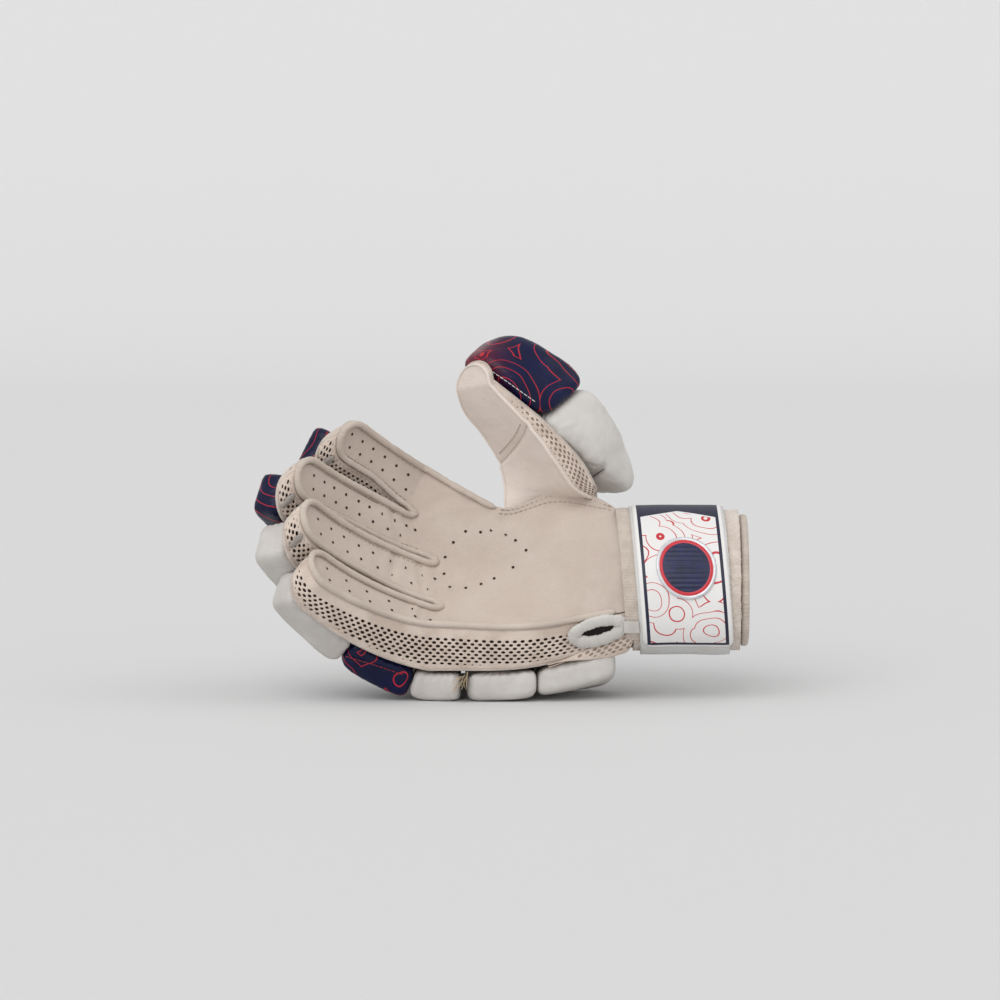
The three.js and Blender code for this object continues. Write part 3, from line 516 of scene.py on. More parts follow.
def digit_rows(tip_share, count):
    """Places down a digit: even steps, then steps that follow the round of the tip."""
    round_from = 1 - tip_share
    straight = np.linspace(0, round_from, count + 1)
    turn = np.radians(np.linspace(0, 87, 15)[1:])
    return np.concatenate([straight, round_from + tip_share * np.sin(turn)])


def finger_net(frames, base_row, rows):
    """A ribbon net that starts on the knuckle row and settles to the ribbon by (1 - 2 place)^2."""
    q = np.linspace(-1, 1, CELLS + 1)
    made = ribbon(frames(rows), q)
    offset = base_row - ribbon(frames(rows[:1]), q)[0]
    return made + offset[None] * (np.clip(1 - rows / 0.5, 0, 1) ** 2)[:, None, None]


FRONT_HAND, COLUMNS = hand_net(FRONT_LINES)
BACK_HAND, _ = hand_net(BACK_LINES)
DIGITS = {}
for _name, _column in zip(FINGERS, COLUMNS):
    _size = FINGERS[_name]
    _front = FRONT_HAND[-1, _column:_column + CELLS + 1]
    _hand_back = BACK_HAND[:, _column:_column + CELLS + 1]
    _back = _hand_back[-1]
    _finger = Finger(_size, _front, _back)
    _rows = digit_rows(_size["half"] / _size["length"], FINGER_ROWS)
    DIGITS[_name] = {
        "finger": _finger, "rows": _rows, "column": _column, "hand_back": _hand_back,
        "front": finger_net(_finger.front, _front, _rows),
        "back": finger_net(_finger.back, _back, _rows),
    }


def thumb_frame(place):
    """The thumb's own sections as curves, with a half round end drawn to its tip."""
    place = np.asarray(place, float)
    inner = [section[0] for section in THUMB_SECTIONS]
    outer = [section[1] for section in THUMB_SECTIONS]
    round_from = (len(THUMB_SECTIONS) - 1) / len(THUMB_SECTIONS)
    along = np.minimum(1, place / round_from)
    ahead, behind = ((spline(inner, t) + spline(outer, t)) / 2 for t in (along + 0.02, along - 0.02))
    direction = unit(ahead - behind)
    made = frame_between(spline(inner, along), spline(outer, along), direction)
    depth = np.interp(along * (len(THUMB_SECTIONS) - 1), range(len(THUMB_SECTIONS)),
                      [section[2] for section in THUMB_SECTIONS])
    past = np.clip((place - round_from) / (1 - round_from), 0, 1)
    centre = made["centre"] * (1 - past[..., None]) + np.array(THUMB_TIP) * past[..., None]
    return {**made, "centre": centre, "along": direction, "depth": depth, "full": made["half"],
            "half": made["half"] * np.sqrt(1 - past ** 2)}


def thumb_back_frame(place):
    """The thumb's frame moved back by its depth."""
    made = thumb_frame(place)
    return {**made, "centre": made["centre"] - made["normal"] * made["depth"][..., None]}


THUMB_ROWS = digit_rows(1 / len(THUMB_SECTIONS), 70)
THUMB_Q = np.linspace(-1, 1, 25)
THUMB_FRONT = ribbon(thumb_frame(THUMB_ROWS), THUMB_Q)
# CAD rows 6 to 2 of ten along the radial edge of the back carry the root of the thumb
_root = spline(BACK_HAND[:, -1], np.linspace(0.6, 0.2, len(THUMB_Q)))
_start = _root - ribbon(thumb_back_frame(THUMB_ROWS[:1]), THUMB_Q)[0]
_start = unit(_start) * np.maximum(0, np.linalg.norm(_start, axis=-1, keepdims=True) - 0.7)
THUMB_BACK = ribbon(thumb_back_frame(THUMB_ROWS), THUMB_Q) \
    + _start[None] * (np.clip(1 - THUMB_ROWS / 0.35, 0, 1) ** 2)[:, None, None]


# Materials

def add_node(tree, kind, inputs=(), out=0, **settings):
    """Adds a node with its settings, fills its sockets with values or links, and gives one output."""
    made = tree.nodes.new(kind)
    for key, value in settings.items():
        setattr(made, key, value)
    for socket, value in inputs.items() if isinstance(inputs, dict) else enumerate(inputs):
        if isinstance(value, bpy.types.NodeSocket):
            tree.links.new(value, made.inputs[socket])
        else:
            made.inputs[socket].default_value = value
    return made.outputs[out] if len(made.outputs) else made


def new_tree(name):
    """An empty node material and its tree."""
    material = bpy.data.materials.new(name)
    material.use_nodes = True
    material.node_tree.nodes.clear()
    return material, material.node_tree


def uneven(tree, size, low=0.0, high=1.0, detail=2.0, stretch=(1, 1, 1)):
    """Unevenness from 0 to 1 whose patches are size millimetres: noise read between low and high."""
    place = add_node(tree, "ShaderNodeTexCoord", out="Object")
    place = add_node(tree, "ShaderNodeMapping", {"Vector": place, "Scale": stretch})
    patches = add_node(tree, "ShaderNodeTexNoise",
                       {"Vector": place, "Scale": 1 / (size * MM), "Detail": detail, "Roughness": 0.55})
    return add_node(tree, "ShaderNodeMapRange", [patches, low, high], interpolation_type="SMOOTHSTEP")


def grains(tree, size):
    """Round grains size millimetres across, 0 in the middle of each and rising to its edge."""
    place = add_node(tree, "ShaderNodeTexCoord", out="Object")
    return add_node(tree, "ShaderNodeTexVoronoi", {"Vector": place, "Scale": 1 / (size * MM)})


def heaped(tree, *layers):
    """Sum of heights, each times its share."""
    total = 0.0
    for height, share in layers:
        total = add_node(tree, "ShaderNodeMath", [height, share, total], operation="MULTIPLY_ADD")
    return total


def between_colours(tree, share, first, second):
    """First colour at 0 and second at 1, each a hex value or another mix."""
    first, second = (linear(c) if isinstance(c, str) else c for c in (first, second))
    return add_node(tree, "ShaderNodeMix", {0: share, 6: first, 7: second}, 2, data_type="RGBA")


def surface(material, tree, colour, roughness, height=None, depth=0.2, **sockets):
    """Principled surface whose bump is depth millimetres high."""
    inputs = {"Base Color": colour, "Roughness": roughness}
    inputs.update({key.replace("_", " "): value for key, value in sockets.items()})
    if height is not None:
        inputs["Normal"] = add_node(tree, "ShaderNodeBump", {"Height": height, "Distance": depth * MM})
    add_node(tree, "ShaderNodeOutputMaterial", [add_node(tree, "ShaderNodeBsdfPrincipled", inputs)])
    return material


def sheepskin(name, colour, dark, grain=0.7):
    # Chrome-tanned sheepskin, dyed through and left uncoated: matt, with round pores, soft stretched folds
    # and slightly lighter and darker patches. Real pores are too fine to show, so they are drawn coarser
    material, tree = new_tree(name)
    tone = between_colours(tree, uneven(tree, 22, 0.25, 0.85, 3), dark, colour)
    tone = between_colours(tree, uneven(tree, 1.6, 0.3, 2.4), tone, "#D6C9BF")
    height = heaped(tree, (grains(tree, grain), 0.35),
                    (uneven(tree, 3.2, detail=4, stretch=(0.6, 1, 1)), 0.7),
                    (uneven(tree, 0.5, detail=1), 0.12))
    return surface(material, tree, tone, uneven(tree, 9, -0.9, 1.0), height, 0.28,
                   Specular_IOR_Level=0.35, Sheen_Weight=0.12)


def coated_leather(name, colour, dark):
    # Split leather with a pressed polyurethane coat, sewn round foam: a broad dull shine, an even grain and
    # soft pulls at its seams. The real grain is too fine to show, so it is drawn coarser
    material, tree = new_tree(name)
    tone = between_colours(tree, uneven(tree, 14, 0.3, 0.72, 3), dark, colour)
    height = heaped(tree, (grains(tree, 0.55), 0.16), (uneven(tree, 5.5, detail=4), 0.75))
    return surface(material, tree, tone, uneven(tree, 7, -0.6, 1.6), height, 0.3,
                   Specular_IOR_Level=0.45, Coat_Weight=0.08, Coat_Roughness=0.3)


def ring_lines(tree, size, levels, width, seed, waver=5.0):
    """Thin even lines: 1 on the rings round scattered middles and 0 between them. The distance to the
    nearest middle, on cells size millimetres across and moved up to waver millimetres by noise, is cut
    into levels and read near each half level but the first."""
    place = add_node(tree, "ShaderNodeTexCoord", out="Object")
    moved = (seed, seed * 0.7, seed * 0.3)
    place = add_node(tree, "ShaderNodeMapping", {"Vector": place, "Location": moved})
    waves = add_node(tree, "ShaderNodeTexNoise",
                     {"Vector": place, "Scale": 1 / (14 * MM), "Detail": 0.5}, "Color")
    place = add_node(tree, "ShaderNodeVectorMath", [waves, (waver * MM,) * 3, place],
                     operation="MULTIPLY_ADD")
    away = add_node(tree, "ShaderNodeTexVoronoi", {"Vector": place, "Scale": 1 / (size * MM)})
    level = add_node(tree, "ShaderNodeMath", [away, levels], operation="MULTIPLY")
    level = add_node(tree, "ShaderNodeMath", [level], operation="FRACT")
    line = add_node(tree, "ShaderNodeMath", [level, 0.5, width], operation="COMPARE")
    outer = add_node(tree, "ShaderNodeMath", [away, 1 / levels], operation="GREATER_THAN")
    return add_node(tree, "ShaderNodeMath", [line, outer], operation="MULTIPLY")


def navy_print_leather(name, colour, line):
    # Polyurethane-coated leather with a navy foil pressed on and thin red lines printed over it: smooth,
    # with soft highlights along its swells, and a red bloom where the print is densest at the thumb's tip.
    # The real grain is too fine to show, so it is drawn coarser
    material, tree = new_tree(name)
    glow = add_node(tree, "ShaderNodeAttribute", out="Fac", attribute_name="tip_glow")
    glow = add_node(tree, "ShaderNodeMath", [glow, 0.55], operation="MULTIPLY")
    ground = between_colours(tree, uneven(tree, 12, 0.35, 0.75), colour, "#0A123E")
    ground = between_colours(tree, glow, ground, "#7A1420")
    rings = ring_lines(tree, 26, 6.5, 0.042, 0.058)
    rings = add_node(tree, "ShaderNodeMath", [rings, 0.8], operation="MULTIPLY")
    base = between_colours(tree, rings, ground, line)
    height = heaped(tree, (grains(tree, 0.6), 0.12), (uneven(tree, 6, detail=3), 0.6))
    return surface(material, tree, base, 0.3, height, 0.22, Specular_IOR_Level=0.2, Coat_Weight=0.08,
                   Coat_Roughness=0.12)


def knit_mesh(name, colour, dark):
    # Warp-knitted polyester spacer mesh: matt yarn ribs round each hole, a little fuzz at grazing angles.
    # One yarn is too fine to show, so the bumps are drawn coarser, as wide as a few yarns together
    material, tree = new_tree(name)
    tone = between_colours(tree, uneven(tree, 10, 0.3, 0.7), dark, colour)
    height = heaped(tree, (grains(tree, 0.55), 0.7), (uneven(tree, 0.8), 0.35))
    return surface(material, tree, tone, 0.86, height, 0.3, Sheen_Weight=0.25, Specular_IOR_Level=0.25)


def yarn_cloth(name, colour, dark, yarn=0.6, depth=0.25, sheen=0.2):
    # Cotton or polyester yarn, looped, woven or twisted as the name says: matt, with bumps for its loops or
    # twists and a soft fuzz that lightens its edges. Bumps finer than a loop of towelling are drawn coarser
    # than the real yarn's, which are too fine to show
    material, tree = new_tree(name)
    tone = between_colours(tree, uneven(tree, 6, 0.3, 0.7, 3), dark, colour)
    height = heaped(tree, (grains(tree, yarn), 0.8), (uneven(tree, yarn * 3), 0.4))
    return surface(material, tree, tone, 0.9, height, depth, Sheen_Weight=sheen, Specular_IOR_Level=0.2)


def moulded_rubber(name, colour, lighter, roughness, metallic=0.0):
    # Soft rubber pressed in a polished mould: satin, with clean edges and a faint unevenness from the press
    material, tree = new_tree(name)
    tone = between_colours(tree, uneven(tree, 4, 0.2, 0.8), colour, lighter)
    return surface(material, tree, tone, roughness, uneven(tree, 1.2), 0.05, Metallic=metallic)


def panel_print(name, size, ground, navy, red):
    # Polyurethane sheet, screen-printed: a dull even shine over crisp flat colours. Its UVs are millimetres
    # over 100: a navy keyline inside the edge, a navy peak across the top and red rings on the white ground.
    # The sheet's grain is drawn coarser than the real one, which is too fine to show
    material, tree = new_tree(name)
    wide, tall = (value / 100 for value in size)
    parts = add_node(tree, "ShaderNodeUVMap", uv_map="UVMap")
    sides = {}
    for axis, whole in (("X", wide), ("Y", tall)):
        at = add_node(tree, "ShaderNodeSeparateXYZ", [parts], axis)
        far = add_node(tree, "ShaderNodeMath", [whole, at], operation="SUBTRACT")
        sides[axis] = at, add_node(tree, "ShaderNodeMath", [at, far], operation="MINIMUM")
    edge = add_node(tree, "ShaderNodeMath", [sides["X"][1], sides["Y"][1]], operation="MINIMUM")
    keyline = add_node(tree, "ShaderNodeMath", [edge, 0.024, 0.007], operation="COMPARE")
    # The banner's lower edge is a shallow peak, highest in the middle of the panel
    off = add_node(tree, "ShaderNodeMath", [sides["X"][0], wide / 2], operation="SUBTRACT")
    off = add_node(tree, "ShaderNodeMath", [off], operation="ABSOLUTE")
    low = add_node(tree, "ShaderNodeMath", [off, 0.3, sides["Y"][0]], operation="MULTIPLY_ADD")
    inside = add_node(tree, "ShaderNodeMath", [edge, 0.031], operation="GREATER_THAN")
    within = add_node(tree, "ShaderNodeMath", [edge, 0.017], operation="GREATER_THAN")
    banner = add_node(tree, "ShaderNodeMath", [low, tall - 0.105], operation="GREATER_THAN")
    banner = add_node(tree, "ShaderNodeMath", [banner, within], operation="MULTIPLY")
    clear = add_node(tree, "ShaderNodeMath", [low, tall - 0.115], operation="LESS_THAN")
    lines = ring_lines(tree, 20, 6.5, 0.055, 0.087)
    lines = add_node(tree, "ShaderNodeMath", [lines, inside], operation="MULTIPLY")
    lines = add_node(tree, "ShaderNodeMath", [lines, clear], operation="MULTIPLY")
    base = between_colours(tree, lines, ground, red)
    drawn = add_node(tree, "ShaderNodeMath", [keyline, banner], operation="MAXIMUM")
    base = between_colours(tree, drawn, base, navy)
    height = heaped(tree, (grains(tree, 0.5), 0.2), (uneven(tree, 6), 0.5))
    return surface(material, tree, base, 0.42, height, 0.15, Coat_Weight=0.1, Coat_Roughness=0.3)


# Surface relief

def soft_relief(points, normals, broad=0.35, fine=0.12, seed=0.0):
    """Leather and cloth that isn't drawn flat: broad swells and finer folds, moved along the normals."""
    folds = value_noise(points * [0.7, 1, 1.2] + seed * 2, 4.2)
    moved = value_noise(points + seed, 11) * broad + folds * fine
    return points + normals * moved[..., None]


def creased(net, normals, creases):
    """Folds pressed into a net: each is a line in the palm view, a depth and a width, and lowers the
    surface by depth * (exp(-(distance / width)^2) - 0.55 exp(-((distance - 1.9 width) / width)^2)), a
    trough with a raised lip beside it."""
    lowered = np.zeros(net.shape[:2])
    plan = net[..., [0, 2]]
    for pixels, depth, width in creases:
        line = np.array([seen(*pixel) for pixel in pixels])
        best = np.full(net.shape[:2], 1e9)
        for a, b in zip(line[:-1], line[1:]):
            ab = b - a
            t = np.clip(((plan - a) @ ab) / (ab @ ab), 0, 1)
            best = np.minimum(best, np.linalg.norm(plan - a - t[..., None] * ab, axis=-1))
        lip = 0.55 * np.exp(-((best - 1.9 * width) / width) ** 2)
        lowered += depth * (np.exp(-(best / width) ** 2) - lip)
    return net - normals * lowered[..., None]


def on_net(net, normals, x, z):
    """Nearest point of a net, and its normal, to a place in the palm view."""
    away = (net[..., 0] - x) ** 2 + (net[..., 2] - z) ** 2
    index = np.unravel_index(np.argmin(away), away.shape)
    return net[index], normals[index]


# Paths round the outlines of the sheets

def digit_side(net, outer):
    """Outline of a digit's net from the middle of its tip down one side."""
    tip = net[-1]
    middle = tip.shape[0] // 2
    end = tip[middle:-1] if outer else tip[1:middle + 1][::-1]
    return np.concatenate([end, net[::-1, -1 if outer else 0]])


def wall_paths(sheet):
    """The wall lines of one sheet: ulnar side, three finger gaps, web, and the thumb's outer side."""
    hand = FRONT_HAND if sheet == "front" else BACK_HAND
    thumb = THUMB_FRONT if sheet == "front" else THUMB_BACK
    nets = [DIGITS[name][sheet] for name in FINGERS]
    web_row, outer_row = round(HAND_ROWS * 0.6), round(HAND_ROWS * 0.2)
    paths = {"mesh_ulnar": np.concatenate([hand[:-1, 0], digit_side(nets[0], False)[::-1]])}
    for k, name in enumerate(("mesh_little_ring", "mesh_ring_middle", "mesh_middle_index")):
        paths[name] = np.concatenate([digit_side(nets[k], True), digit_side(nets[k + 1], False)[::-1]])
    paths["web_wall"] = np.concatenate([digit_side(nets[3], True), hand[-2:web_row - 1:-1, -1],
                                        digit_side(thumb, False)[::-1][1:]])
    paths["mesh_thumb"] = np.concatenate([digit_side(thumb, True)[:-1], hand[outer_row::-1, -1]])
    return paths


# Pieces

# How many rows the welt runs down the hand past the little finger and past the index finger
WELT_ROWS = (82, 34)
# What each mesh wall is cut from: width and length of the strip, and the area of the cut without holes
MESH_CUTS = {"mesh_ulnar": (26, 170, 2600), "mesh_little_ring": (26, 165, 2900),
             "mesh_ring_middle": (26, 170, 2900), "mesh_middle_index": (26, 150, 2500),
             "mesh_thumb": (22, 95, 1050)}
# Folds of the palm: a line of pixels in the photograph, then depth and width in millimetres
CREASES = [
    ([(392, 505), (398, 540), (392, 575)], 0.55, 1.8),
    ([(418, 560), (424, 590), (420, 620)], 0.5, 1.6),
    ([(505, 520), (545, 500), (600, 503)], 0.8, 2.6),
    ([(560, 640), (590, 600), (612, 560)], 0.6, 3.0),
    ([(405, 520), (440, 500), (480, 497)], 0.6, 2.2),
    ([(430, 612), (470, 625), (520, 630)], 0.5, 2.4),
]
# Pixels of the palm's oval ring of punched holes, and how many rows of them run down each finger
RING_HOLES = [(466, 531), (480, 532), (492, 531), (505, 534), (515, 540), (525, 550), (514, 567), (495, 579),
              (481, 585), (465, 588), (449, 587), (444, 574), (446, 557), (453, 543)]
FINGER_HOLES = {"little": 6, "ring": 9, "middle": 10, "index": 7}
# Lines of pixels over the rolls: red stitches, white stitches and the dart in the thumb's white roll
RED_SEAM = [(346, 655), (376, 664), (404, 674)]
WHITE_SEAM = [(484, 366), (506, 381), (538, 404)]
DART = [(583, 480), (593, 477), (606, 468)]


def relieved_front(name):
    """Front net of the hand or of a digit with its relief, the same wherever it is used."""
    net = FRONT_HAND if name == "hand" else DIGITS[name]["front"]
    normals = net_normals(net)
    bent = creased(net, normals, CREASES)
    return soft_relief(bent, normals, 0.25, 0.1), normals


def palm_mesh():
    """The hand's net and the four finger nets, joined along the knuckle row and faded to meet there."""
    hand, _ = relieved_front("hand")
    fade = smoothstep(0, 0.08, 1 - np.linspace(0, 1, len(hand)))[:, None, None]
    edge = np.minimum(np.arange(hand.shape[1]), np.arange(hand.shape[1])[::-1]) / 4
    fade = fade * np.clip(edge, 0, 1)[None, :, None]
    hand = FRONT_HAND + (hand - FRONT_HAND) * fade
    shapes = [net_shape(hand)]
    for name, digit in DIGITS.items():
        bent, _ = relieved_front(name)
        rows = digit["rows"]
        fade = (smoothstep(0, 0.12, rows) * (1 - smoothstep(0.93, 1, rows)))[:, None, None]
        shapes.append(net_shape(digit["front"] + (bent - digit["front"]) * fade))
    return welded(*joined(shapes))


def punched_hole(centre, normal, radius):
    """A punched hole: a low rolled lip of leather round a flat dark disc. The profile gives the reach in
    radii and the height in millimetres above the palm."""
    side = unit(np.cross(normal, [0.3, 0.1, 1.0]))
    other = np.cross(normal, side)
    turn = turns(12)
    profile = [(1.5, -0.05), (1.2, 0.1), (0.98, 0.06), (0.9, 0.03), (0.0, 0.02)]
    ring = np.cos(turn)[:, None] * side + np.sin(turn)[:, None] * other
    rings = np.stack([centre + radius * reach * ring + normal * height for reach, height in profile])
    return rings.reshape(-1, 3), grid_faces(len(profile), len(turn), closed=True).tolist()


def finger_hole_spots(name):
    """Two staggered rows of holes down a finger front."""
    spots = []
    for place in np.linspace(-0.05, 0.8, FINGER_HOLES[name]):
        for q in (-0.34, 0.3):
            at = np.clip(place + (0.035 if q > 0 else 0), 0.02, 0.9)
            spots.append((at, q))
    return spots


def perforation_mesh(radius):
    """All the punched holes: two rows on each finger front and an oval ring on the palm."""
    shapes, index = [], []
    net, normals = relieved_front("hand")
    where = [on_net(net, normals, *seen(*pixel)) for pixel in RING_HOLES]
    for name in FINGERS:
        net, normals = relieved_front(name)
        for place, q in finger_hole_spots(name):
            row = int(np.argmin(np.abs(DIGITS[name]["rows"] - place)))
            column = int(round((q + 1) / 2 * CELLS))
            where.append((net[row, column], normals[row, column]))
    for centre, normal in where:
        shapes.append(punched_hole(centre, normal, radius))
        index += [0] * 24 + [1] * 24
    return *pointed(*joined(shapes)), index


def pointed(points, faces):
    """Faces whose last two corners are one place, as in the middle of a disc, made into triangles."""
    return points, [face if np.linalg.norm(points[face[2]] - points[face[3]]) > 1e-6 else face[:3]
                    for face in faces]


def outline_run(name):
    """Rim of a finger front from its crotch round the tip to the other crotch, with its normals and its
    inward side."""
    digit = DIGITS[name]
    net = digit["front"]
    normal = digit["finger"].front(digit["rows"])["normal"]
    last = len(net) - 1
    left, right = net[:, 0], net[::-1, -1]
    tip = net[last, 1:-1]
    path = np.concatenate([left, tip, right])
    normals = np.concatenate([normal, np.repeat(normal[-1:], len(tip), 0), normal[::-1]])
    middle = net[:, CELLS // 2]
    tip_middle = np.repeat(middle[last - 8:last - 7], len(tip), 0)
    return path, normals, unit(np.concatenate([middle, tip_middle, middle[::-1]]) - path)


def piping_mesh(name, radius, inset):
    """Rolled leather edge: a tube on the rim of a finger front whose radius swells and pinches a little. It
    goes on to the middle of the gap beside it, or down the hand's own edge as a welt."""
    path, normals, inward = outline_run(name)
    run = path + inward * inset + normals * (radius * 0.75)
    hand_normals = net_normals(FRONT_HAND)
    last = FRONT_HAND.shape[1] - 1
    column = DIGITS[name]["column"]
    ends = []
    for at, rim in ((column - GAP_CELLS // 2, 0), (column + CELLS + GAP_CELLS // 2, last)):
        if 0 < at < last:
            rows, at, lift = np.array([-2, -4]), at + np.array([np.sign(column - at), 0]), 0.5
        else:
            rows, at, lift = -np.arange(3, WELT_ROWS[rim == last], 4), rim, 0.75
        side = 1 if rim == 0 else -1
        edge, normal = FRONT_HAND[rows, at], hand_normals[rows, at]
        inner = unit(FRONT_HAND[rows, at + side * 2] - edge)
        ends.append(edge + inner * inset * (lift > 0.7) + normal * radius * lift)
    run = resampled(np.concatenate([ends[0][::-1], run[2:-2], ends[1]]), 3.0)
    run = spline(run, np.linspace(0, 1, len(run) * 4))
    size = radius * (1 + 0.1 * value_noise(run, 3.0) + 0.07 * value_noise(run, 1.3))
    return tube(run, size, sides=12, squash=0.9, taper=3)


def folded_end(name):
    """Short flat fold that runs from a finger's rim at its tip down its wall."""
    digit = DIGITS[name]
    row = len(digit["rows"]) - 9
    top, low = digit["front"][row, 0], digit["back"][row, 0]
    away = unit(top - digit["front"][row, CELLS // 2])
    t = np.linspace(0.06, 0.75, 12)[:, None]
    path = top * (1 - t) + low * t + away * (1.3 + 0.5 * np.sin(t * 3))
    return tube(path, 1.9 - 0.5 * t[:, 0], sides=12, squash=0.55, up=away, taper=2.5)


def wall_map(front, back, inset_front, inset_back, bulge=0.8):
    """A strip between two lines: a function for its point at a distance along it and down it, its length,
    its greatest width, and a function for its width at a distance along it, all in millimetres."""
    length = distance_along((front + back) / 2)
    keep = np.concatenate([[True], np.diff(length) > 1e-4])
    front, back, length = front[keep], back[keep], length[keep]
    down = back - front
    deep = np.linalg.norm(down, axis=1)
    width = np.maximum(0.4, deep - inset_front - inset_back)
    normal = unit(np.cross(np.gradient(front + back, axis=0), down))

    def width_at(u):
        return np.interp(u, length, width)

    def place(u, v, lift=0.0):
        start, along_down, outward_side = (read_along(u, length, values) for values in (front, down, normal))
        wide = width_at(u)
        share = np.clip(v, 0, wide)
        out = bulge * np.sin(np.pi * share / wide) * np.minimum(1, wide / 10) + lift
        return start + unit(along_down) * (inset_front + share)[..., None] \
            + unit(outward_side) * out[..., None]

    return place, length[-1], float(width.max()), width_at


def perforated_wall(front, back, settings, margins, fade=(0.5, 3)):
    """Knitted mesh with oval holes on a staggered grid. Each hole has a six-sided cell around it, and a
    cell is clamped to the strip's edges, so that the cloth ends in a clean cut. Holes shrink to nothing
    in the margins and towards the ends, over the fade's distance at the start."""
    place, length, widest, width_at = wall_map(front, back, LEATHER * 0.4, LINING * 0.6)
    pitch, step = settings.hole_pitch / MM, settings.hole_row_step / MM
    columns = int(length / pitch) + 2
    rows = int(widest / step) + 2
    r, c = np.meshgrid(np.arange(rows), np.arange(columns), indexing="ij")
    u = (c + 0.5 * (r % 2)) * pitch
    v = r * step
    turn = np.radians([90, 30, -30, -90, -150, 150])
    corner_u = np.array([0, 0.5, 0.5, 0, -0.5, -0.5]) * pitch
    corner_v = np.array([2 / 3, 1 / 3, -1 / 3, -2 / 3, -1 / 3, 1 / 3]) * step
    left = width_at(np.clip(u, 0, length)) - v
    near, far = margins
    open_share = smoothstep(near, near + 1.2, v) * smoothstep(far, far + 1.2, left)
    open_share = open_share * smoothstep(*fade, u) * smoothstep(0.5, 3, length - u)
    open_share = np.where(open_share < 0.12, 0, np.maximum(open_share, 0.3))
    opened = (open_share * (1 + 0.12 * value_noise(np.stack([u, v, u * 0], -1), 2.0)))[..., None]
    radius = settings.hole_radius / MM
    hole_u = u[..., None] + np.cos(turn) * radius * opened
    hole_v = v[..., None] + np.sin(turn) * (radius * 0.74) * opened
    outer = place(np.clip(u[..., None] + corner_u, 0, length), v[..., None] + corner_v)
    inner = place(np.clip(hole_u, 0, length), hole_v)
    points = np.concatenate([outer, inner], axis=2).reshape(-1, 3)
    start = np.arange(rows * columns)[:, None, None] * 12
    k = np.arange(6)
    ring = np.stack([k, k + 6, (k + 1) % 6 + 6, (k + 1) % 6], axis=-1)
    faces = (start + ring[None]).reshape(-1, 4)
    return dropped_slivers(*welded(points, faces))


def dropped_slivers(points, faces, least=0.02):
    """Faces of almost no area, left where cells were clamped to an edge, taken away."""
    kept = []
    for face in faces:
        edges = points[face[1:]] - points[face[0]]
        area = np.linalg.norm(sum(np.cross(a, b) for a, b in zip(edges[:-1], edges[1:]))) / 2
        if area > least:
            kept.append(face)
    return points, kept


# How far the loose end of the little-finger side's mesh hangs over the first roll, in millimetres
FLAP_DROP = 5.5


def flap_edges(front, back, rows=36):
    """Upper and lower edge of the loose mesh end, which is round at the wrist and fades towards the
    fingers: FLAP_DROP sqrt(1 - (1 - share / 0.1)^2) (1 - smoothstep(0.15, 1, share))."""
    front, back = front[:rows], back[:rows]
    down = unit(back - front)
    out = unit(np.cross(np.gradient(front + back, axis=0), down))
    share = np.linspace(0, 1, rows)
    fade = 1 - smoothstep(0.15, 1, share)
    drop = FLAP_DROP * np.sqrt(np.clip(1 - np.clip(1 - share / 0.1, 0, 1) ** 2, 0.02, 1)) * fade
    upper = back - down * (1 + 4 * fade)[:, None] + out * 0.6
    return upper, back + down * drop[:, None] + out * 1.9


def strip_net(wall, start, end, rows, shares, lift=0.0):
    """Net of a wall_map's strip: rows of points from start to end along it, at shares of its width."""
    place, _, _, width_at = wall
    u = np.linspace(start, end, rows)[:, None]
    return place(np.repeat(u, len(shares), 1), width_at(u) * shares, lift)


def backing_mesh(front, back, lift=-2.6, until=None):
    """Plain strip just inside a mesh wall, over its whole length or until a distance along it."""
    wall = wall_map(front, back, LEATHER * 0.9, LINING * 0.8)
    length = wall[1]
    shares = np.linspace(0.02, 0.98, 9)
    return net_shape(strip_net(wall, 0.5, until or length - 0.5, int(length / 2), shares, lift), True)


# Rolls

def hand_back_point(name, place, q):
    """Point of the back's own net at a place from 0 to 1 and a share across, by bilinear blending."""
    net = DIGITS[name]["hand_back"]
    r = np.clip(place, 0, 1) * HAND_ROWS
    c = (np.clip(q, -1, 1) + 1) / 2 * CELLS
    r0, c0 = np.minimum(r.astype(int), HAND_ROWS - 1), np.minimum(c.astype(int), CELLS - 1)
    fr, fc = (r - r0)[..., None], (c - c0)[..., None]
    top = net[r0, c0] * (1 - fc) + net[r0, c0 + 1] * fc
    low = net[r0 + 1, c0] * (1 - fc) + net[r0 + 1, c0 + 1] * fc
    return top * (1 - fr) + low * fr


def behind_back(name, place, q, height):
    """Point at a height out of the palm side of the back, for places 0 to 1 on the hand and 1 to 2 on the
    finger, where it starts on the hand's own edge and settles by (1 - 2 place)^2."""
    place, q, height = np.broadcast_arrays(place, q, height)
    net = DIGITS[name]["hand_back"]
    along = np.array([-1.0, 0, 0])
    normals = frame_between(net[:, 0], net[:, -1], along)["normal"]
    normal = unit(read_along(np.clip(place, 0, 1) * HAND_ROWS, np.arange(HAND_ROWS + 1), normals))
    on_hand = hand_back_point(name, place, q) + normal * height[..., None]
    finger = DIGITS[name]["finger"]
    at = finger.back(np.clip(place - 1, 0, 1), full=True)
    start = finger.back(np.array(0.0), full=True)
    on_finger, knuckle = (made["centre"] + (q * made["half"])[..., None] * made["across"]
                          for made in (at, start))
    skew = hand_back_point(name, np.ones_like(place), q) - knuckle
    settled = np.clip(1 - (place - 1) / 0.5, 0, 1) ** 2
    on_finger = on_finger + at["normal"] * height[..., None] + skew * settled[..., None]
    return np.where((place < 1)[..., None], on_hand, on_finger)


_place = np.linspace(0.17, 0.93, 40)
THUMB_ROLL_FITS = {key: polyfit(_place, thumb_back_frame(_place)[key], 2)
                   for key in ("centre", "across", "normal", "full")}


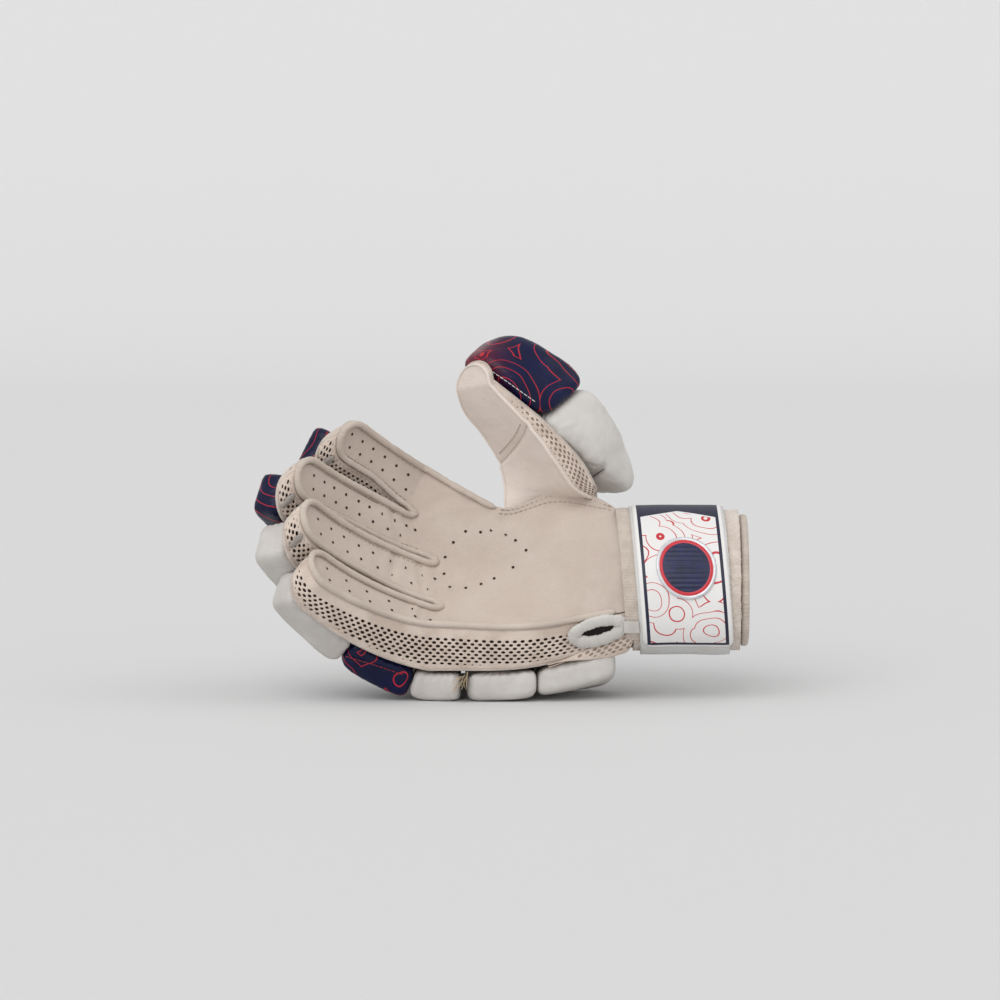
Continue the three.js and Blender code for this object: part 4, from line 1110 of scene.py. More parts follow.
def behind_thumb(place, q, height):
    """Point behind the thumb: its back frame as a square curve of the place, so that no small turn shows."""
    fitted = {key: np.moveaxis(polyval(place, fit), 0, -1) if fit.ndim > 1 else polyval(place, fit)
              for key, fit in THUMB_ROLL_FITS.items()}
    return fitted["centre"] + (q * fitted["full"])[..., None] * unit(fitted["across"]) \
        + unit(fitted["normal"]) * height[..., None]


def signed_power(value, exponent):
    """Power of the size of a value, with the value's own sign."""
    return np.sign(value) * np.abs(value) ** exponent


def roll_net(point_at, start, end, width, thick, gap=0.8, ends=(0.24, 0.24), section=0.5, rows=26, sides=84):
    """Squared oval cushion: reach = cos(latitude)^p, height = (1 + sin(latitude)^section) / 2, and the plan
    is (cos^p, sin^p) of the turn, with one p for each end, laid on a place along and a share across a back
    sheet. Its thickness is the square curve through thick at its start, middle and end."""
    latitude = np.radians(np.concatenate([[-90, -70, -52], np.linspace(-38, 90, rows - 3)]))[:, None]
    turn = turns(sides)[None, :]
    plan = np.where(np.cos(turn) < 0, ends[0], ends[1])
    reach = np.abs(np.cos(latitude)) ** plan
    reach[[0, -1]] = 0
    height = (1 + signed_power(np.sin(latitude), section)) / 2
    along = reach * signed_power(np.cos(turn), plan)
    across = reach * signed_power(np.sin(turn), plan)
    place = start + (end - start) * (along + 1) / 2
    first, middle, last = thick
    bend = (first + last) / 2 - middle
    high = height * (middle + along * (last - first) / 2 + along ** 2 * bend)
    net = point_at(place, across * width, -gap - high)
    return welded(net.reshape(-1, 3), grid_faces(rows, sides, closed=True))


def pad_frame(points):
    """Middle, and the long, wide and high directions of a pad, by its own spread."""
    middle = points.mean(0)
    _, axes = np.linalg.eigh(np.cov((points - middle).T))
    return middle, axes[:, ::-1].T


def mesh_points(mesh, key="co"):
    """Places or normals of a mesh's points as an array of rows."""
    values = np.zeros(len(mesh.vertices) * 3)
    mesh.vertices.foreach_get(key, values)
    return values.reshape(-1, 3)


# Cloth of the rolls while their stuffing is simulated
ROLL_CLOTH = {"quality": 4, "mass": 0.2, "tension_stiffness": 18, "compression_stiffness": 18,
              "shear_stiffness": 8, "bending_stiffness": 0.6, "use_pressure": True}


def stuffed(pieces, settings):
    """Cloth simulation of padded rolls: a voxel remesh, air pressure with no gravity, and each point's
    movement capped at settings.cap by movement * min(1, cap / length). The result is applied to the mesh."""
    before = []
    for piece in pieces:
        remesh = piece.modifiers.new("Remesh", "REMESH")
        remesh.mode = "VOXEL"
        remesh.voxel_size = settings.voxel
        remesh.use_smooth_shade = True
        baked(piece)
        before.append(mesh_points(piece.data))
    for piece in pieces:
        cloth = piece.modifiers.new("Cloth", "CLOTH")
        for key, value in ROLL_CLOTH.items():
            setattr(cloth.settings, key, value)
        cloth.settings.effector_weights.gravity = 0
        cloth.settings.uniform_pressure_force = settings.pressure
        cloth.collision_settings.use_collision = False
        cloth.point_cache.frame_start = 1
        cloth.point_cache.frame_end = settings.ticks
    scene = bpy.context.scene
    for tick in range(1, settings.ticks + 1):
        scene.frame_set(tick)
    graph = bpy.context.evaluated_depsgraph_get()
    after = [mesh_points(piece.evaluated_get(graph).data) for piece in pieces]
    for piece, start, end in zip(pieces, before, after):
        piece.modifiers.clear()
        change = end - start
        size = np.linalg.norm(change, axis=1, keepdims=True)
        set_points(piece.data, start + change * np.minimum(1, settings.cap / np.maximum(size, 1e-9)))
    scene.frame_set(1)


def puckered(piece, pucker, seed):
    """Subdivides a pad, then gathers it along its sewn edge: normal movement of
    -pucker * fall(height) * (0.5 + 0.5 cos(turn * folds + noise)), and soft broad dents over the crown."""
    smooth = piece.modifiers.new("Smooth", "SUBSURF")
    smooth.levels = smooth.render_levels = 1
    baked(piece)
    mesh = piece.data
    points, normals = mesh_points(mesh) / MM, mesh_points(mesh, "normal")
    middle, (long_way, wide_way, high_way) = pad_frame(points)
    high_way = high_way * np.sign((middle - hand_middle(middle)) @ high_way)
    local = (points - middle) @ np.stack([long_way, wide_way, high_way]).T
    span = np.abs(local).max(0)
    turn = np.arctan2(local[:, 1] / span[1], local[:, 0] / span[0])
    height = local[:, 2] / span[2]
    gather = (1 - smoothstep(-0.75, 0.05, height)) * pucker / MM
    folds = 0.5 + 0.5 * np.cos(turn * 22 + 5 * value_noise(points + seed, 7))
    dents = value_noise(points + seed, 9) * 0.28 + value_noise(points * [1, 1.6, 1] + seed, 4.5) * 0.12
    mesh.polygons.foreach_set("use_smooth", np.ones(len(mesh.polygons), bool))
    set_points(mesh, (points + normals * (dents - gather * folds)[:, None]) * MM)


# Places inside the hand, its fingers and its thumb, which a roll's crown faces away from
HAND_MIDDLES = [[20, 8, 60], [-20, 12, 60], [-60, 0, 60], [-50, 12, 85], [5, 12, 115]]


def hand_middle(point):
    """The middle of the hand nearest to a point, in millimetres of the row frame."""
    spots = stand(np.array(HAND_MIDDLES)) / MM
    return spots[np.argmin(np.linalg.norm(spots - point, axis=1))]


def finger_roll(name, number):
    """One roll of a finger's column, from the hand's back or the finger's back."""
    start, end, size, width = ROLL_PLACES[number]
    thick = (FINGERS[name]["rolls"][size],) * 3
    return roll_net(lambda *where: behind_back(name, *where), start, end, width, thick)


def thumb_roll(start, end, thick, gap, ends):
    """A roll of the thumb, which stands out to the thumb's outer side."""
    return roll_net(lambda place, q, height: behind_thumb(place, q * 1.08 + 0.18, height),
                    start, end, 1, thick, gap, ends)


def unstand(points):
    """Row millimetres back to layout millimetres."""
    x, y, z = np.moveaxis(points - STAND_SHIFT, -1, 0)
    c, s = math.cos(LEAN), math.sin(LEAN)
    return np.stack([x, y * c - z * s, z * c + y * s], axis=-1)


def front_of(piece, pixels, step=0.9, reach=1.6):
    """Path over the viewer's side of a piece under a line of pixels: Y is a square curve through the
    foremost mesh point within reach of each place, and the normal is their mean."""
    line = np.array([seen(*pixel) for pixel in pixels])
    line = resampled(np.stack([line[:, 0], np.zeros(len(line)), line[:, 1]], -1), step)[:, [0, 2]]
    places = unstand(mesh_points(piece.data) / MM)
    normals = unstand(mesh_points(piece.data, "normal") + STAND_SHIFT)
    near = np.linalg.norm(places[None, :, [0, 2]] - line[:, None], axis=-1)
    depth = np.where(near < reach, places[None, :, 1], 1e6 + near)
    best = np.argmin(depth, axis=1)
    steps = np.arange(len(line))
    fit = polyfit(steps, places[best, 1], 2)
    y = polyval(steps, fit)
    return np.stack([line[:, 0], y, line[:, 1]], axis=-1), unit(normals[best].mean(0) + 0 * line[:, :1])


def pressed_fold(piece, pixels, depth, width):
    """Presses a short fold into a piece's viewer side by depth * exp(-(distance / width)^2)."""
    path, _ = front_of(piece, pixels)
    points, normals = mesh_points(piece.data) / MM, mesh_points(piece.data, "normal")
    target = stand(path) / MM
    away = np.linalg.norm(points[:, None] - target[None], axis=-1).min(1)
    set_points(piece.data, (points - normals * (depth * np.exp(-(away / width) ** 2))[:, None]) * MM)


# Wrist

def closed_band(span, offset, rows, sides, relief):
    """A whole ring of the wrist tube, faces outward."""
    x = np.linspace(*span, rows)[:, None]
    angle = np.linspace(0, 360, sides, endpoint=False)[None, :]
    net = upright(wrist_point(x, angle, offset + relief(x, angle)))
    return net.reshape(-1, 3), reversed_faces(grid_faces(rows, sides, closed=True))


def upright(net):
    """Takes the wrist tube's lean away towards its open end: x + lean (z - z0) smoothstep(100, 109, x)."""
    moved = net.copy()
    moved[..., 0] += WRIST_LEAN * (net[..., 2] - WRIST["z"]) * smoothstep(100, 109, net[..., 0])
    return moved


def band_relief(seed, broad, fine, yarn=1.4):
    """Soft swells round a band, plus yarn-sized bumps, as a function of x and the angle."""
    def relief(x, angle):
        # One degree round the wrist is about half a millimetre
        arc = angle * 0.5
        where = np.stack(np.broadcast_arrays(x, arc, np.full_like(x * arc, seed)), -1)
        return value_noise(where, 12) * broad + value_noise(where, yarn) * fine
    return relief


def hem_ring():
    """Folded edge of the cuff: the profile (1.9 cos^0.8, 2 sin) millimetres carried round the wrist oval,
    with gathers of 0.15 cos(90 angle)."""
    turn = turns(16)[:, None]
    angle = np.linspace(0, 360, 300, endpoint=False)[None, :]
    gather = 0.15 * np.cos(np.radians(angle) * 90) * np.ones_like(turn)
    x = HEM_X + 1.9 * signed_power(np.cos(turn), 0.8)
    offset = -3.4 + 2.0 * np.sin(turn) + gather
    net = wrist_point(np.broadcast_to(x, offset.shape), np.broadcast_to(angle, offset.shape), offset)
    points = upright(net).reshape(-1, 3)
    return points, outward(points, ring_faces(16, 300).tolist())


def patch_panel(rows=46, sides=90):
    """Printed panel of the strap with drawn-in corners: its net, its UVs in millimetres over 100 and its
    height round the wrist."""
    s = np.linspace(-1, 1, rows)[:, None]
    t = np.linspace(-1, 1, sides)[None, :]
    narrow = 1 - 0.1 * np.clip((np.abs(t) - 0.88) / 0.12, 0, 1) ** 2
    x = PANEL_MIDDLE + PANEL_HALF * s * narrow
    angle = 101 + 73 * t * (1 - 0.02 * np.clip((np.abs(s) - 0.8) / 0.2, 0, 1) ** 2)
    crown = 0.5 * np.sqrt(np.clip(1 - np.maximum(np.abs(s), np.abs(t)) ** 12, 0, 1))
    swell = value_noise(np.stack(np.broadcast_arrays(x, angle * 0.5, x * 0), -1), 13) * 0.3
    net = wrist_point(x, angle, 1.7 + crown + swell)
    arc = distance_along(net[rows // 2])
    v = arc[-1] - arc
    uv = np.stack(np.broadcast_arrays((x - PANEL_EDGE) / 100, v[None, :] / 100), -1)
    return net, uv.reshape(-1, 2), arc[-1]


def badge_mesh():
    """Oval moulded badge: rings of a low dome 1.6 - 0.4 share^2 with ribs of 0.12 cos(42 share) across its
    field, a step, a groove and a raised rim. Gives its net, its faces and which finish each one has."""
    field = np.linspace(0, 0.76, 30)
    reach = np.concatenate([field, [0.78, 0.8, 0.84, 0.86, 0.89, 0.91, 0.96, 1.0, 1.01]])
    height = np.concatenate([1.6 - 0.4 * field ** 2, [1.34, 1.55, 1.55, 1.34, 1.34, 1.75, 1.75, 1.3, 0.2]])
    turn = turns(96)
    along = reach[:, None] * np.cos(turn)[None]
    round_it = reach[:, None] * np.sin(turn)[None]
    ribs = 0.12 * np.cos(round_it * 42) * (reach[:, None] < 0.75)
    net = wrist_point(85.5 + 13.5 * along, 103 + 24 * round_it, 2.6 + height[:, None] + ribs)
    faces = grid_faces(len(reach), 96, closed=True)
    ring = np.repeat(np.arange(len(reach) - 1), 96)
    index = np.where(ring < len(field), 0, np.where(ring < len(field) + 4, 1, 2))
    return net, faces, index


def slit_frame():
    """Middle of the bound slit on the little-finger side, its long, short and outward directions."""
    front, back = wall_paths("front")["mesh_ulnar"], wall_paths("back")["mesh_ulnar"]
    row = int(0.175 * HAND_ROWS)
    centre = front[row] * 0.63 + back[row] * 0.37
    along = unit(front[row + 5] + back[row + 5] - front[row - 5] - back[row - 5])
    across = front[row] - back[row]
    across = unit(across - along * (across @ along))
    return centre, along, across, np.cross(along, across)


def slit_mesh():
    """Ruched leather binding round the slit: an oval tube half as high as it is wide, whose radius is
    2.9 (1 + 0.035 cos(31 t) + 0.16 noise), and a dark floor inside it."""
    centre, along, across, out = slit_frame()
    out = out * (1 if out[2] < 0 else -1)
    turn = turns(160)
    oval = centre + 11.2 * np.cos(turn)[:, None] * along + 4.6 * np.sin(turn)[:, None] * across + out * 1.5
    ahead = unit(np.roll(oval, -1, 0) - np.roll(oval, 1, 0))
    side = unit(np.cross(ahead, out))
    size = 2.9 * (1 + 0.035 * np.cos(turn * 31) + 0.16 * value_noise(oval, 2.6))
    around = turns(14)
    rings = oval[:, None] + size[:, None, None] * (np.cos(around)[None, :, None] * side[:, None]
                                                   + 0.5 * np.sin(around)[None, :, None] * out)
    points = rings.reshape(-1, 3)
    binding = points, outward(points, ring_faces(len(turn), len(around)).tolist())
    share = np.array([0, 0.5, 1])[:, None, None]
    floor = centre + out * 1.0 + share * (10.4 * np.cos(turn)[None, :, None] * along
                                          + 3.9 * np.sin(turn)[None, :, None] * across)
    return binding, (floor.reshape(-1, 3), grid_faces(3, len(turn), closed=True).tolist())


def elastic_and_gap_shade_strip():
    """Black elastic end that shows between two rolls of the little finger's column; its black stands partly
    for the elastic and partly as painted shade of the hollow gap between the rolls.
    """
    place = np.linspace(0.812, 0.842, 7)[:, None]
    height = np.linspace(-1.0, -12.5, 20)[None, :]
    return net_shape(behind_back("little", place, -1.0 + 0 * height, height))


def frayed_threads(count=16):
    """Loose cut threads: arcs of a few millimetres that start at the seam above the elastic end."""
    shapes = []
    for k in range(count):
        spread = math.sin(k * 12.9) * 0.5 + 0.5
        lean = math.sin(k * 7.3 + 1)
        start = behind_back("little", 0.806 + 0.03 * spread, -1.02, -0.5 - 4 * spread)
        reach = 2.5 + 2.5 * abs(math.sin(k * 3.1))
        t = np.linspace(0, 1, 8)[:, None]
        out = np.array([-0.9 + 0.8 * lean, -0.55, -0.5 + 0.9 * math.sin(k * 5.7)])
        curl = np.array([0.5 * math.sin(k * 2.2), -0.25, -0.9]) * t ** 2
        thread = start + reach * (t * out + curl * 0.7)
        shapes.append(tube(thread, 0.13, sides=5, up=np.array([0.3, 0, 1.0])))
    return joined(shapes)


def seam_path(net, column, from_row=4, end_gap=5):
    """Path up one side of a digit's net, over its tip and down the other side, inset by some columns."""
    last = len(net) - end_gap
    return np.concatenate([net[from_row:last, column], net[last - 1, column + 1:-column - 1],
                           net[from_row:last, -1 - column][::-1]])


# Sizes and colours a user would change

class LeatherSettings(bpy.types.PropertyGroup):
    palm_colour: StringProperty(name="Palm colour", description="Sheepskin of the palm", default="#CBBDB2")
    palm_shade: StringProperty(name="Palm shade", description="Its darker patches", default="#BFB0A5")
    # The rolled edges are the palm's sheepskin painted a little lighter: a painted highlight along their
    # round
    lit_edge_colour: StringProperty(name="Lit edge colour", description="Rolled edges of the finger fronts",
                                default="#CFC2B7")
    piping: FloatProperty(name="Rolled edge", description="Radius of the rolled leather edges",
                          default=1.45 * MM, min=0.5 * MM, unit="LENGTH")
    inset: FloatProperty(name="Edge inset", description="How far in from the rim the rolled edge lies",
                         default=0.9 * MM, min=0.0, unit="LENGTH")
    stitch: FloatProperty(name="Stitch pitch", description="Length of one stitch with its gap",
                          default=2.3 * MM, min=1.0 * MM, unit="LENGTH")
    hole: FloatProperty(name="Perforation", description="Radius of the punched air holes",
                        default=0.7 * MM, min=0.2 * MM, unit="LENGTH")


class MeshSettings(bpy.types.PropertyGroup):
    colour: StringProperty(name="Mesh colour", description="Spacer mesh between the fingers",
                           default="#DCCCC0")
    # Colour of the painted shade behind the mesh holes: a dark sheet that stands for the shade of the
    # glove's hollow inside
    dark: StringProperty(name="Painted shade behind the mesh", description="Painted shade seen through the holes", default="#665448")
    hole_pitch: FloatProperty(name="Hole pitch", description="Distance between holes along a row",
                              default=3.45 * MM, min=1.5 * MM, unit="LENGTH")
    hole_row_step: FloatProperty(name="Row step", description="Distance between staggered rows of holes",
                                 default=1.65 * MM, min=0.8 * MM, unit="LENGTH")
    hole_radius: FloatProperty(name="Hole radius", description="Half length of an oval hole",
                               default=1.05 * MM, min=0.2 * MM, unit="LENGTH")
    thickness: FloatProperty(name="Mesh thickness", description="Thickness of the spacer mesh",
                             default=0.8 * MM, min=0.3 * MM, unit="LENGTH")


class RollSettings(bpy.types.PropertyGroup):
    white: StringProperty(name="Roll colour", description="White coated leather of the rolls",
                          default="#CCC8C3")
    navy: StringProperty(name="Navy", description="Navy foil-printed leather", default="#070D30")
    red: StringProperty(name="Red", description="Red of the printed lines", default="#C22630")
    voxel: FloatProperty(name="Voxel", description="Cell of the remesh before the stuffing is simulated",
                         default=1.5 * MM, min=0.8 * MM, unit="LENGTH")
    pressure: FloatProperty(name="Pressure", description="Air pressure of the stuffing",
                            default=4.0, min=0.0)
    cap: FloatProperty(name="Cap", description="Furthest a point of a roll may swell",
                       default=1.2 * MM, min=0.0, unit="LENGTH")
    ticks: IntProperty(name="Frames", description="Frames of the simulation", default=20, min=1)
    pucker: FloatProperty(name="Pucker", description="Depth of the gathers along a roll's sewn edge",
                          default=0.35 * MM, min=0.0, unit="LENGTH")


class WristSettings(bpy.types.PropertyGroup):
    towelling: StringProperty(name="Towelling", description="Cuff of looped cotton", default="#D9CDC3")
    silver: StringProperty(name="Badge rim", description="Moulded rim of the badge", default="#C6C8CC")


class StageSettings(bpy.types.PropertyGroup):
    floor: StringProperty(name="Floor colour", description="Paper sweep under the glove", default="#D6D6D6")
    key: FloatProperty(name="Key light", description="Strength of the broad light from the front left",
                       default=1.16, min=0.0)
    sky: FloatProperty(name="Fill", description="Strength of the even fill light", default=0.76, min=0.0)
    distance: FloatProperty(name="Camera distance", description="From the camera to the palm",
                            default=2.5, min=0.5, unit="LENGTH")


# Lights: name, the way the light goes, its spread in degrees and its share of the key strength
LIGHTS = (("broad key light", (0.36, 0.66, -0.66), 55, 1.0), ("rim light", (-0.75, 0.1, -0.65), 40, 0.2))
# Layout point in the middle of the photograph, its width in pixels and the camera's sensor in millimetres
VIEW_MIDDLE = (1.8, 0.0, 93.6)
PHOTO_WIDTH = 1000
SENSOR = 36


def sewn_rolls(shapes, white, navy, settings, seed):
    """Rolls from (piece name, CAD node, shape), in white or navy leather, stuffed and puckered."""
    pieces = []
    for name, node, (points, faces) in shapes:
        finish, slot = (navy, "navy_leather") if node in NAVY_ROLLS else (white, "white_leather")
        pieces.append(part(name, (points, outward(points, faces)), [finish], [node]))
    stuffed(pieces, settings)
    for number, piece in enumerate(pieces):
        puckered(piece, settings.pucker, seed + number * 31.7)
    return pieces


# Operators

class GLOVE_OT_palm(bpy.types.Operator):
    """Palm sheepskin: the palm and the finger fronts in one cut, with punched holes and seams"""

    bl_idname = "glove.palm"
    bl_label = "Palm"

    def execute(self, context):
        chosen = context.scene.glove_leather
        skin = sheepskin("chrome-tanned sheepskin", chosen.palm_colour, chosen.palm_shade)
        part("palm_skin", palm_mesh(), [skin], ["palm_leather"], LEATHER)
        dark = yarn_cloth("shadowed glove lining", "#2E2520", "#241C18")
        lip = sheepskin("pressed rim of a punched hole", "#C0B2A6", "#B3A498")
        points, faces, index = perforation_mesh(chosen.hole / MM)
        part("punched_air_holes", (points, faces), [lip, dark], index=index)
        thread = yarn_cloth("bonded nylon thread", "#B2A498", "#A5978B", 0.3, 0.08)
        pitch = chosen.stitch / MM
        runs = []
        for name in FINGERS:
            net, normals = relieved_front(name)
            runs.append(stitches(seam_path(net, 3), seam_path(normals, 3), pitch, 1.6, 0.2))
        # Two rows beside the thumb and one on the little-finger side: rows of the net, column, thickness
        hand, normals = relieved_front("hand")
        beside_thumb = slice(round(HAND_ROWS * 0.62), 3, -1)
        for rows, column, radius in ((beside_thumb, -3, 0.27), (beside_thumb, -6, 0.27),
                                     (slice(6, 78), 3, 0.2)):
            runs.append(stitches(hand[rows, column], normals[rows, column], pitch, 1.6, radius))
        part("palm_stitching", joined(runs), [thread])
        return {"FINISHED"}


class GLOVE_OT_rolled_edges(bpy.types.Operator):
    """Rolled leather edges round the finger fronts and down both sides of the palm"""

    bl_idname = "glove.rolled_edges"
    bl_label = "Rolled edges"

    def execute(self, context):
        chosen = context.scene.glove_leather
        # Lighter than the palm's sheepskin: painted highlight of the rolled edges
        skin = sheepskin("sheepskin rolled over cord, lightened as painted highlight", chosen.lit_edge_colour, "#BDAFA3", 0.6)
        for name in FINGERS:
            shape = piping_mesh(name, chosen.piping / MM, chosen.inset / MM)
            part(f"rolled_edge_{name}", shape, [skin], [f"piping_{name}"])
        grey = sheepskin("grey edge of the mesh folded under", "#A39C97", "#8E8782", 0.6)
        folds = [folded_end(name) for name in ("ring", "middle", "index")]
        part("folded_mesh_ends", joined(folds), [grey])
        return {"FINISHED"}


class GLOVE_OT_linings(bpy.types.Operator):
    """Lining of the back of the hand and of the thumb, which the rolls are sewn to"""

    bl_idname = "glove.linings"
    bl_label = "Linings"

    def execute(self, context):
        cloth = yarn_cloth("brushed cotton lining", "#CFC3B9", "#BDB0A5", 0.5, 0.2)
        hand = joined([net_shape(BACK_HAND)] + [net_shape(digit["back"]) for digit in DIGITS.values()])
        for name, shape, node, flat, rests_on, area in (
                ("back_of_hand_lining", hand, "back_lining", (125, 180),
                 ["roll_little_1", "roll_ring_1"], 15500),
                ("thumb_back_lining", net_shape(THUMB_BACK), "thumb_back", (36, 95),
                 ["thumb_roll_base"], 2600)):
            points, faces = welded(*shape)
            piece = part(name, (points, reversed_faces(faces)), [cloth], [node], LINING)
        return {"FINISHED"}


class GLOVE_OT_thumb_leather(bpy.types.Operator):
    """Front of the thumb in two leathers that meet at a cross seam"""

    bl_idname = "glove.thumb_leather"
    bl_label = "Thumb leather"

    def execute(self, context):
        chosen = context.scene.glove_leather
        # The thumb's sheepskin is the palm's leather painted lighter: painted light that makes up for its
        # front facing down and away from the key light. Its rolled edge takes the same lighter colour
        skin = sheepskin("sheepskin of the thumb, lightened as painted light", "#E6DAD1", "#DACDC3")
        seam = int(np.argmin(np.abs(THUMB_ROWS - THUMB_SEAM)))
        seam_at = (THUMB_SEAM - 0.06 + 0.13 * THUMB_Q)[None, :]
        rows, split = THUMB_ROWS[:, None], THUMB_ROWS[seam]
        place = np.where(rows < split, rows / split * seam_at,
                         seam_at + (rows - split) / (1 - split) * (1 - seam_at))
        made = thumb_frame(place)
        front = made["centre"] + (THUMB_Q * made["half"])[..., None] * made["across"]
        normals = net_normals(front)
        net = soft_relief(front, normals, 0.3, 0.12, 4.0)
        groove = 0.9 * np.exp(-((np.arange(len(net)) - seam) / 1.6) ** 2)
        net = net - normals * groove[:, None, None]
        for name, rows, node in (("thumb_base_skin", slice(0, seam + 1), "thumb_leather_base"),
                                 ("thumb_tip_skin", slice(seam, None), "thumb_leather_tip")):
            part(name, welded(*net_shape(net[rows])), [skin], [node], LEATHER)
        thread = yarn_cloth("bonded nylon thread of the thumb", "#B2A498", "#A5978B", 0.3, 0.08)
        rim = resampled(seam_path(net, 0, 2, 1), 1.2)
        size = 0.45 + 0.4 * smoothstep(0.4, 0.55, np.linspace(0, 1, len(rim)))
        part("thumb_rolled_edge", tube(rim, size, taper=3), [skin])
        row = seam + 3
        run = stitches(net[row, 2:-2], normals[row, 2:-2], chosen.stitch / MM, 1.6, 0.28)
        part("thumb_stitching", run, [thread])
        return {"FINISHED"}


class GLOVE_OT_mesh_walls(bpy.types.Operator):
    """Knitted mesh between palm and back, with a dark sheet of painted shade or pale foam behind its holes,
    and the leather web
    """

    bl_idname = "glove.mesh_walls"
    bl_label = "Mesh walls"

    def execute(self, context):
        chosen = context.scene.glove_mesh
        cloth = knit_mesh("polyester spacer mesh", chosen.colour, "#C7B6A9")
        # Dark sheet behind the mesh holes, coloured as painted shade of the glove's hollow inside
        dark = yarn_cloth("painted shade behind the mesh", chosen.dark, "#4C3D33", 0.8, 0.2)
        pale = yarn_cloth("foam behind the mesh's dimples", "#D6C3B4", "#C9B5A5", 0.8, 0.2)
        front, back = wall_paths("front"), wall_paths("back")
        thickness = chosen.thickness / MM
        for name, (wide, long, area) in MESH_CUTS.items():
            lines = front[name], back[name]
            margins = (3.4, 1.4) if name == "mesh_ulnar" else (1.3, 0.9)
            fade = (12, 40) if name == "mesh_thumb" else (0.5, 3)
            levels = 1 if name in ("mesh_ulnar", "mesh_thumb") else 0
            shape = perforated_wall(*lines, chosen, margins, fade)
            piece = part(f"spacer_{name}", shape, [cloth], [name], thickness, levels)
            if name == "mesh_thumb":
                part("foam_mesh_thumb", backing_mesh(*lines, -1.0), [pale])
            else:
                # Dark sheet of painted shade behind the holes
                part(f"painted_shade_{name}", backing_mesh(*lines), [dark])
            if name == "mesh_ulnar":
                part("foam_wrist_end", backing_mesh(*lines, -1.3, 30.0), [pale])
        edges = flap_edges(front["mesh_ulnar"], back["mesh_ulnar"])
        flap = perforated_wall(*edges, chosen, (0.3, 1.0))
        part("mesh_flap", flap, [cloth], wall=thickness, levels=1)
        part("foam_mesh_flap", backing_mesh(*edges, -0.9), [pale])
        skin = sheepskin("sheepskin of the web", "#D0C4BA", "#C1B4A9")
        wall = wall_map(front["web_wall"], back["web_wall"], 1.3, 0.9, 0.5)
        net = strip_net(wall, 0, wall[1], 260, np.linspace(0, 1, 26))
        net = soft_relief(net, net_normals(net), 0.3, 0.12, 2.0)
        part("web_skin", net_shape(net, True), [skin], ["web_wall"], 1.4)
        return {"FINISHED"}


class GLOVE_OT_finger_rolls(bpy.types.Operator):
    """Padded rolls on the backs of the fingers and of the hand, stuffed by a cloth simulation"""

    bl_idname = "glove.finger_rolls"
    bl_label = "Finger rolls"

    def execute(self, context):
        chosen = context.scene.glove_rolls
        white = coated_leather("white coated split leather", chosen.white, "#BDB8B3")
        navy = navy_print_leather("navy foil-printed leather", chosen.navy, chosen.red)
        shapes = [(f"roll_{name}_{number + 1}", f"{name}_pad_{number + 1}", finger_roll(name, number))
                  for name in FINGERS for number in range(len(ROLL_PLACES))]
        pieces = sewn_rolls(shapes, white, navy, chosen, 0)
        thread = yarn_cloth("red polyester thread", "#A02832", "#8A1F2A", 0.3, 0.05)
        seam = stitches(*front_of(pieces[NAVY_PIECE], RED_SEAM), 2.0, 1.3, 0.2, 0.1)
        part("red_roll_stitching", seam, [thread])
        return {"FINISHED"}


class GLOVE_OT_thumb_rolls(bpy.types.Operator):
    """The thumb's two padded rolls, navy and red at the tip and white below"""

    bl_idname = "glove.thumb_rolls"
    bl_label = "Thumb rolls"

    def execute(self, context):
        chosen = context.scene.glove_rolls
        white = coated_leather("white coated split leather of the thumb", "#D6D3CF", "#C8C4BF")
        navy = navy_print_leather("navy foil-printed leather of the thumb", chosen.navy, chosen.red)
        shapes = [(node.replace("pad", "roll"), node, thumb_roll(*shape)) for node, *shape in THUMB_ROLLS]
        pieces = sewn_rolls(shapes, white, navy, chosen, 700)
        for number, piece in enumerate(pieces):
            place = mesh_points(piece.data) / MM
            glow = 1 - smoothstep(-16, 6, place[:, 0]) if number else np.zeros(len(place))
            layer = piece.data.attributes.new("tip_glow", "FLOAT", "POINT")
            layer.data.foreach_set("value", glow)
        pressed_fold(pieces[0], DART, 1.6, 1.6)
        shadow = yarn_cloth("shadow in the dart", "#5E5751", "#4A4540", 0.3, 0.05)
        path, _ = front_of(pieces[0], DART)
        part("thumb_roll_dart", tube(path, 0.38, sides=8, taper=4), [shadow])
        thread = yarn_cloth("white polyester thread", "#D9D6D2", "#C9C5C1", 0.3, 0.05)
        seam = stitches(*front_of(pieces[1], WHITE_SEAM), 2.2, 1.6, 0.2, 0.1)
        part("white_roll_stitching", seam, [thread])
        return {"FINISHED"}


class GLOVE_OT_cuff(bpy.types.Operator):
    """Towelling cuff with its folded edge and ribbed strip"""

    bl_idname = "glove.cuff"
    bl_label = "Cuff"

    def execute(self, context):
        chosen = context.scene.glove_wrist
        cotton = yarn_cloth("looped cotton towelling", chosen.towelling, "#C8BBB0", 1.1, 0.5, 0.35)
        tube_shape = closed_band(CUFF_SPAN, -2.1, 62, 250, band_relief(3.0, 0.25, 0.22))
        cuff = part("towelling_cuff", tube_shape, [cotton], ["cuff"], 2.6)
        edge = yarn_cloth("knitted edge binding", "#CBBFB4", "#BCAFA4", 0.7, 0.3)
        part("cuff_hem", hem_ring(), [edge], ["cuff_binding"])
        x = np.linspace(*RIB_SPAN, 16)[:, None]
        angle = np.linspace(20, 168, 220)[None, :]
        ribs = 0.07 * np.cos(np.radians(angle) * 150) * np.ones_like(x)
        fold = 0.5 * np.sin(np.pi * (x - RIB_SPAN[0]) / (RIB_SPAN[1] - RIB_SPAN[0]))
        strip = net_shape(wrist_point(x, angle, 0.35 + fold + ribs), True)
        part("ribbed_strip", strip, [edge], wall=0.9)
        return {"FINISHED"}


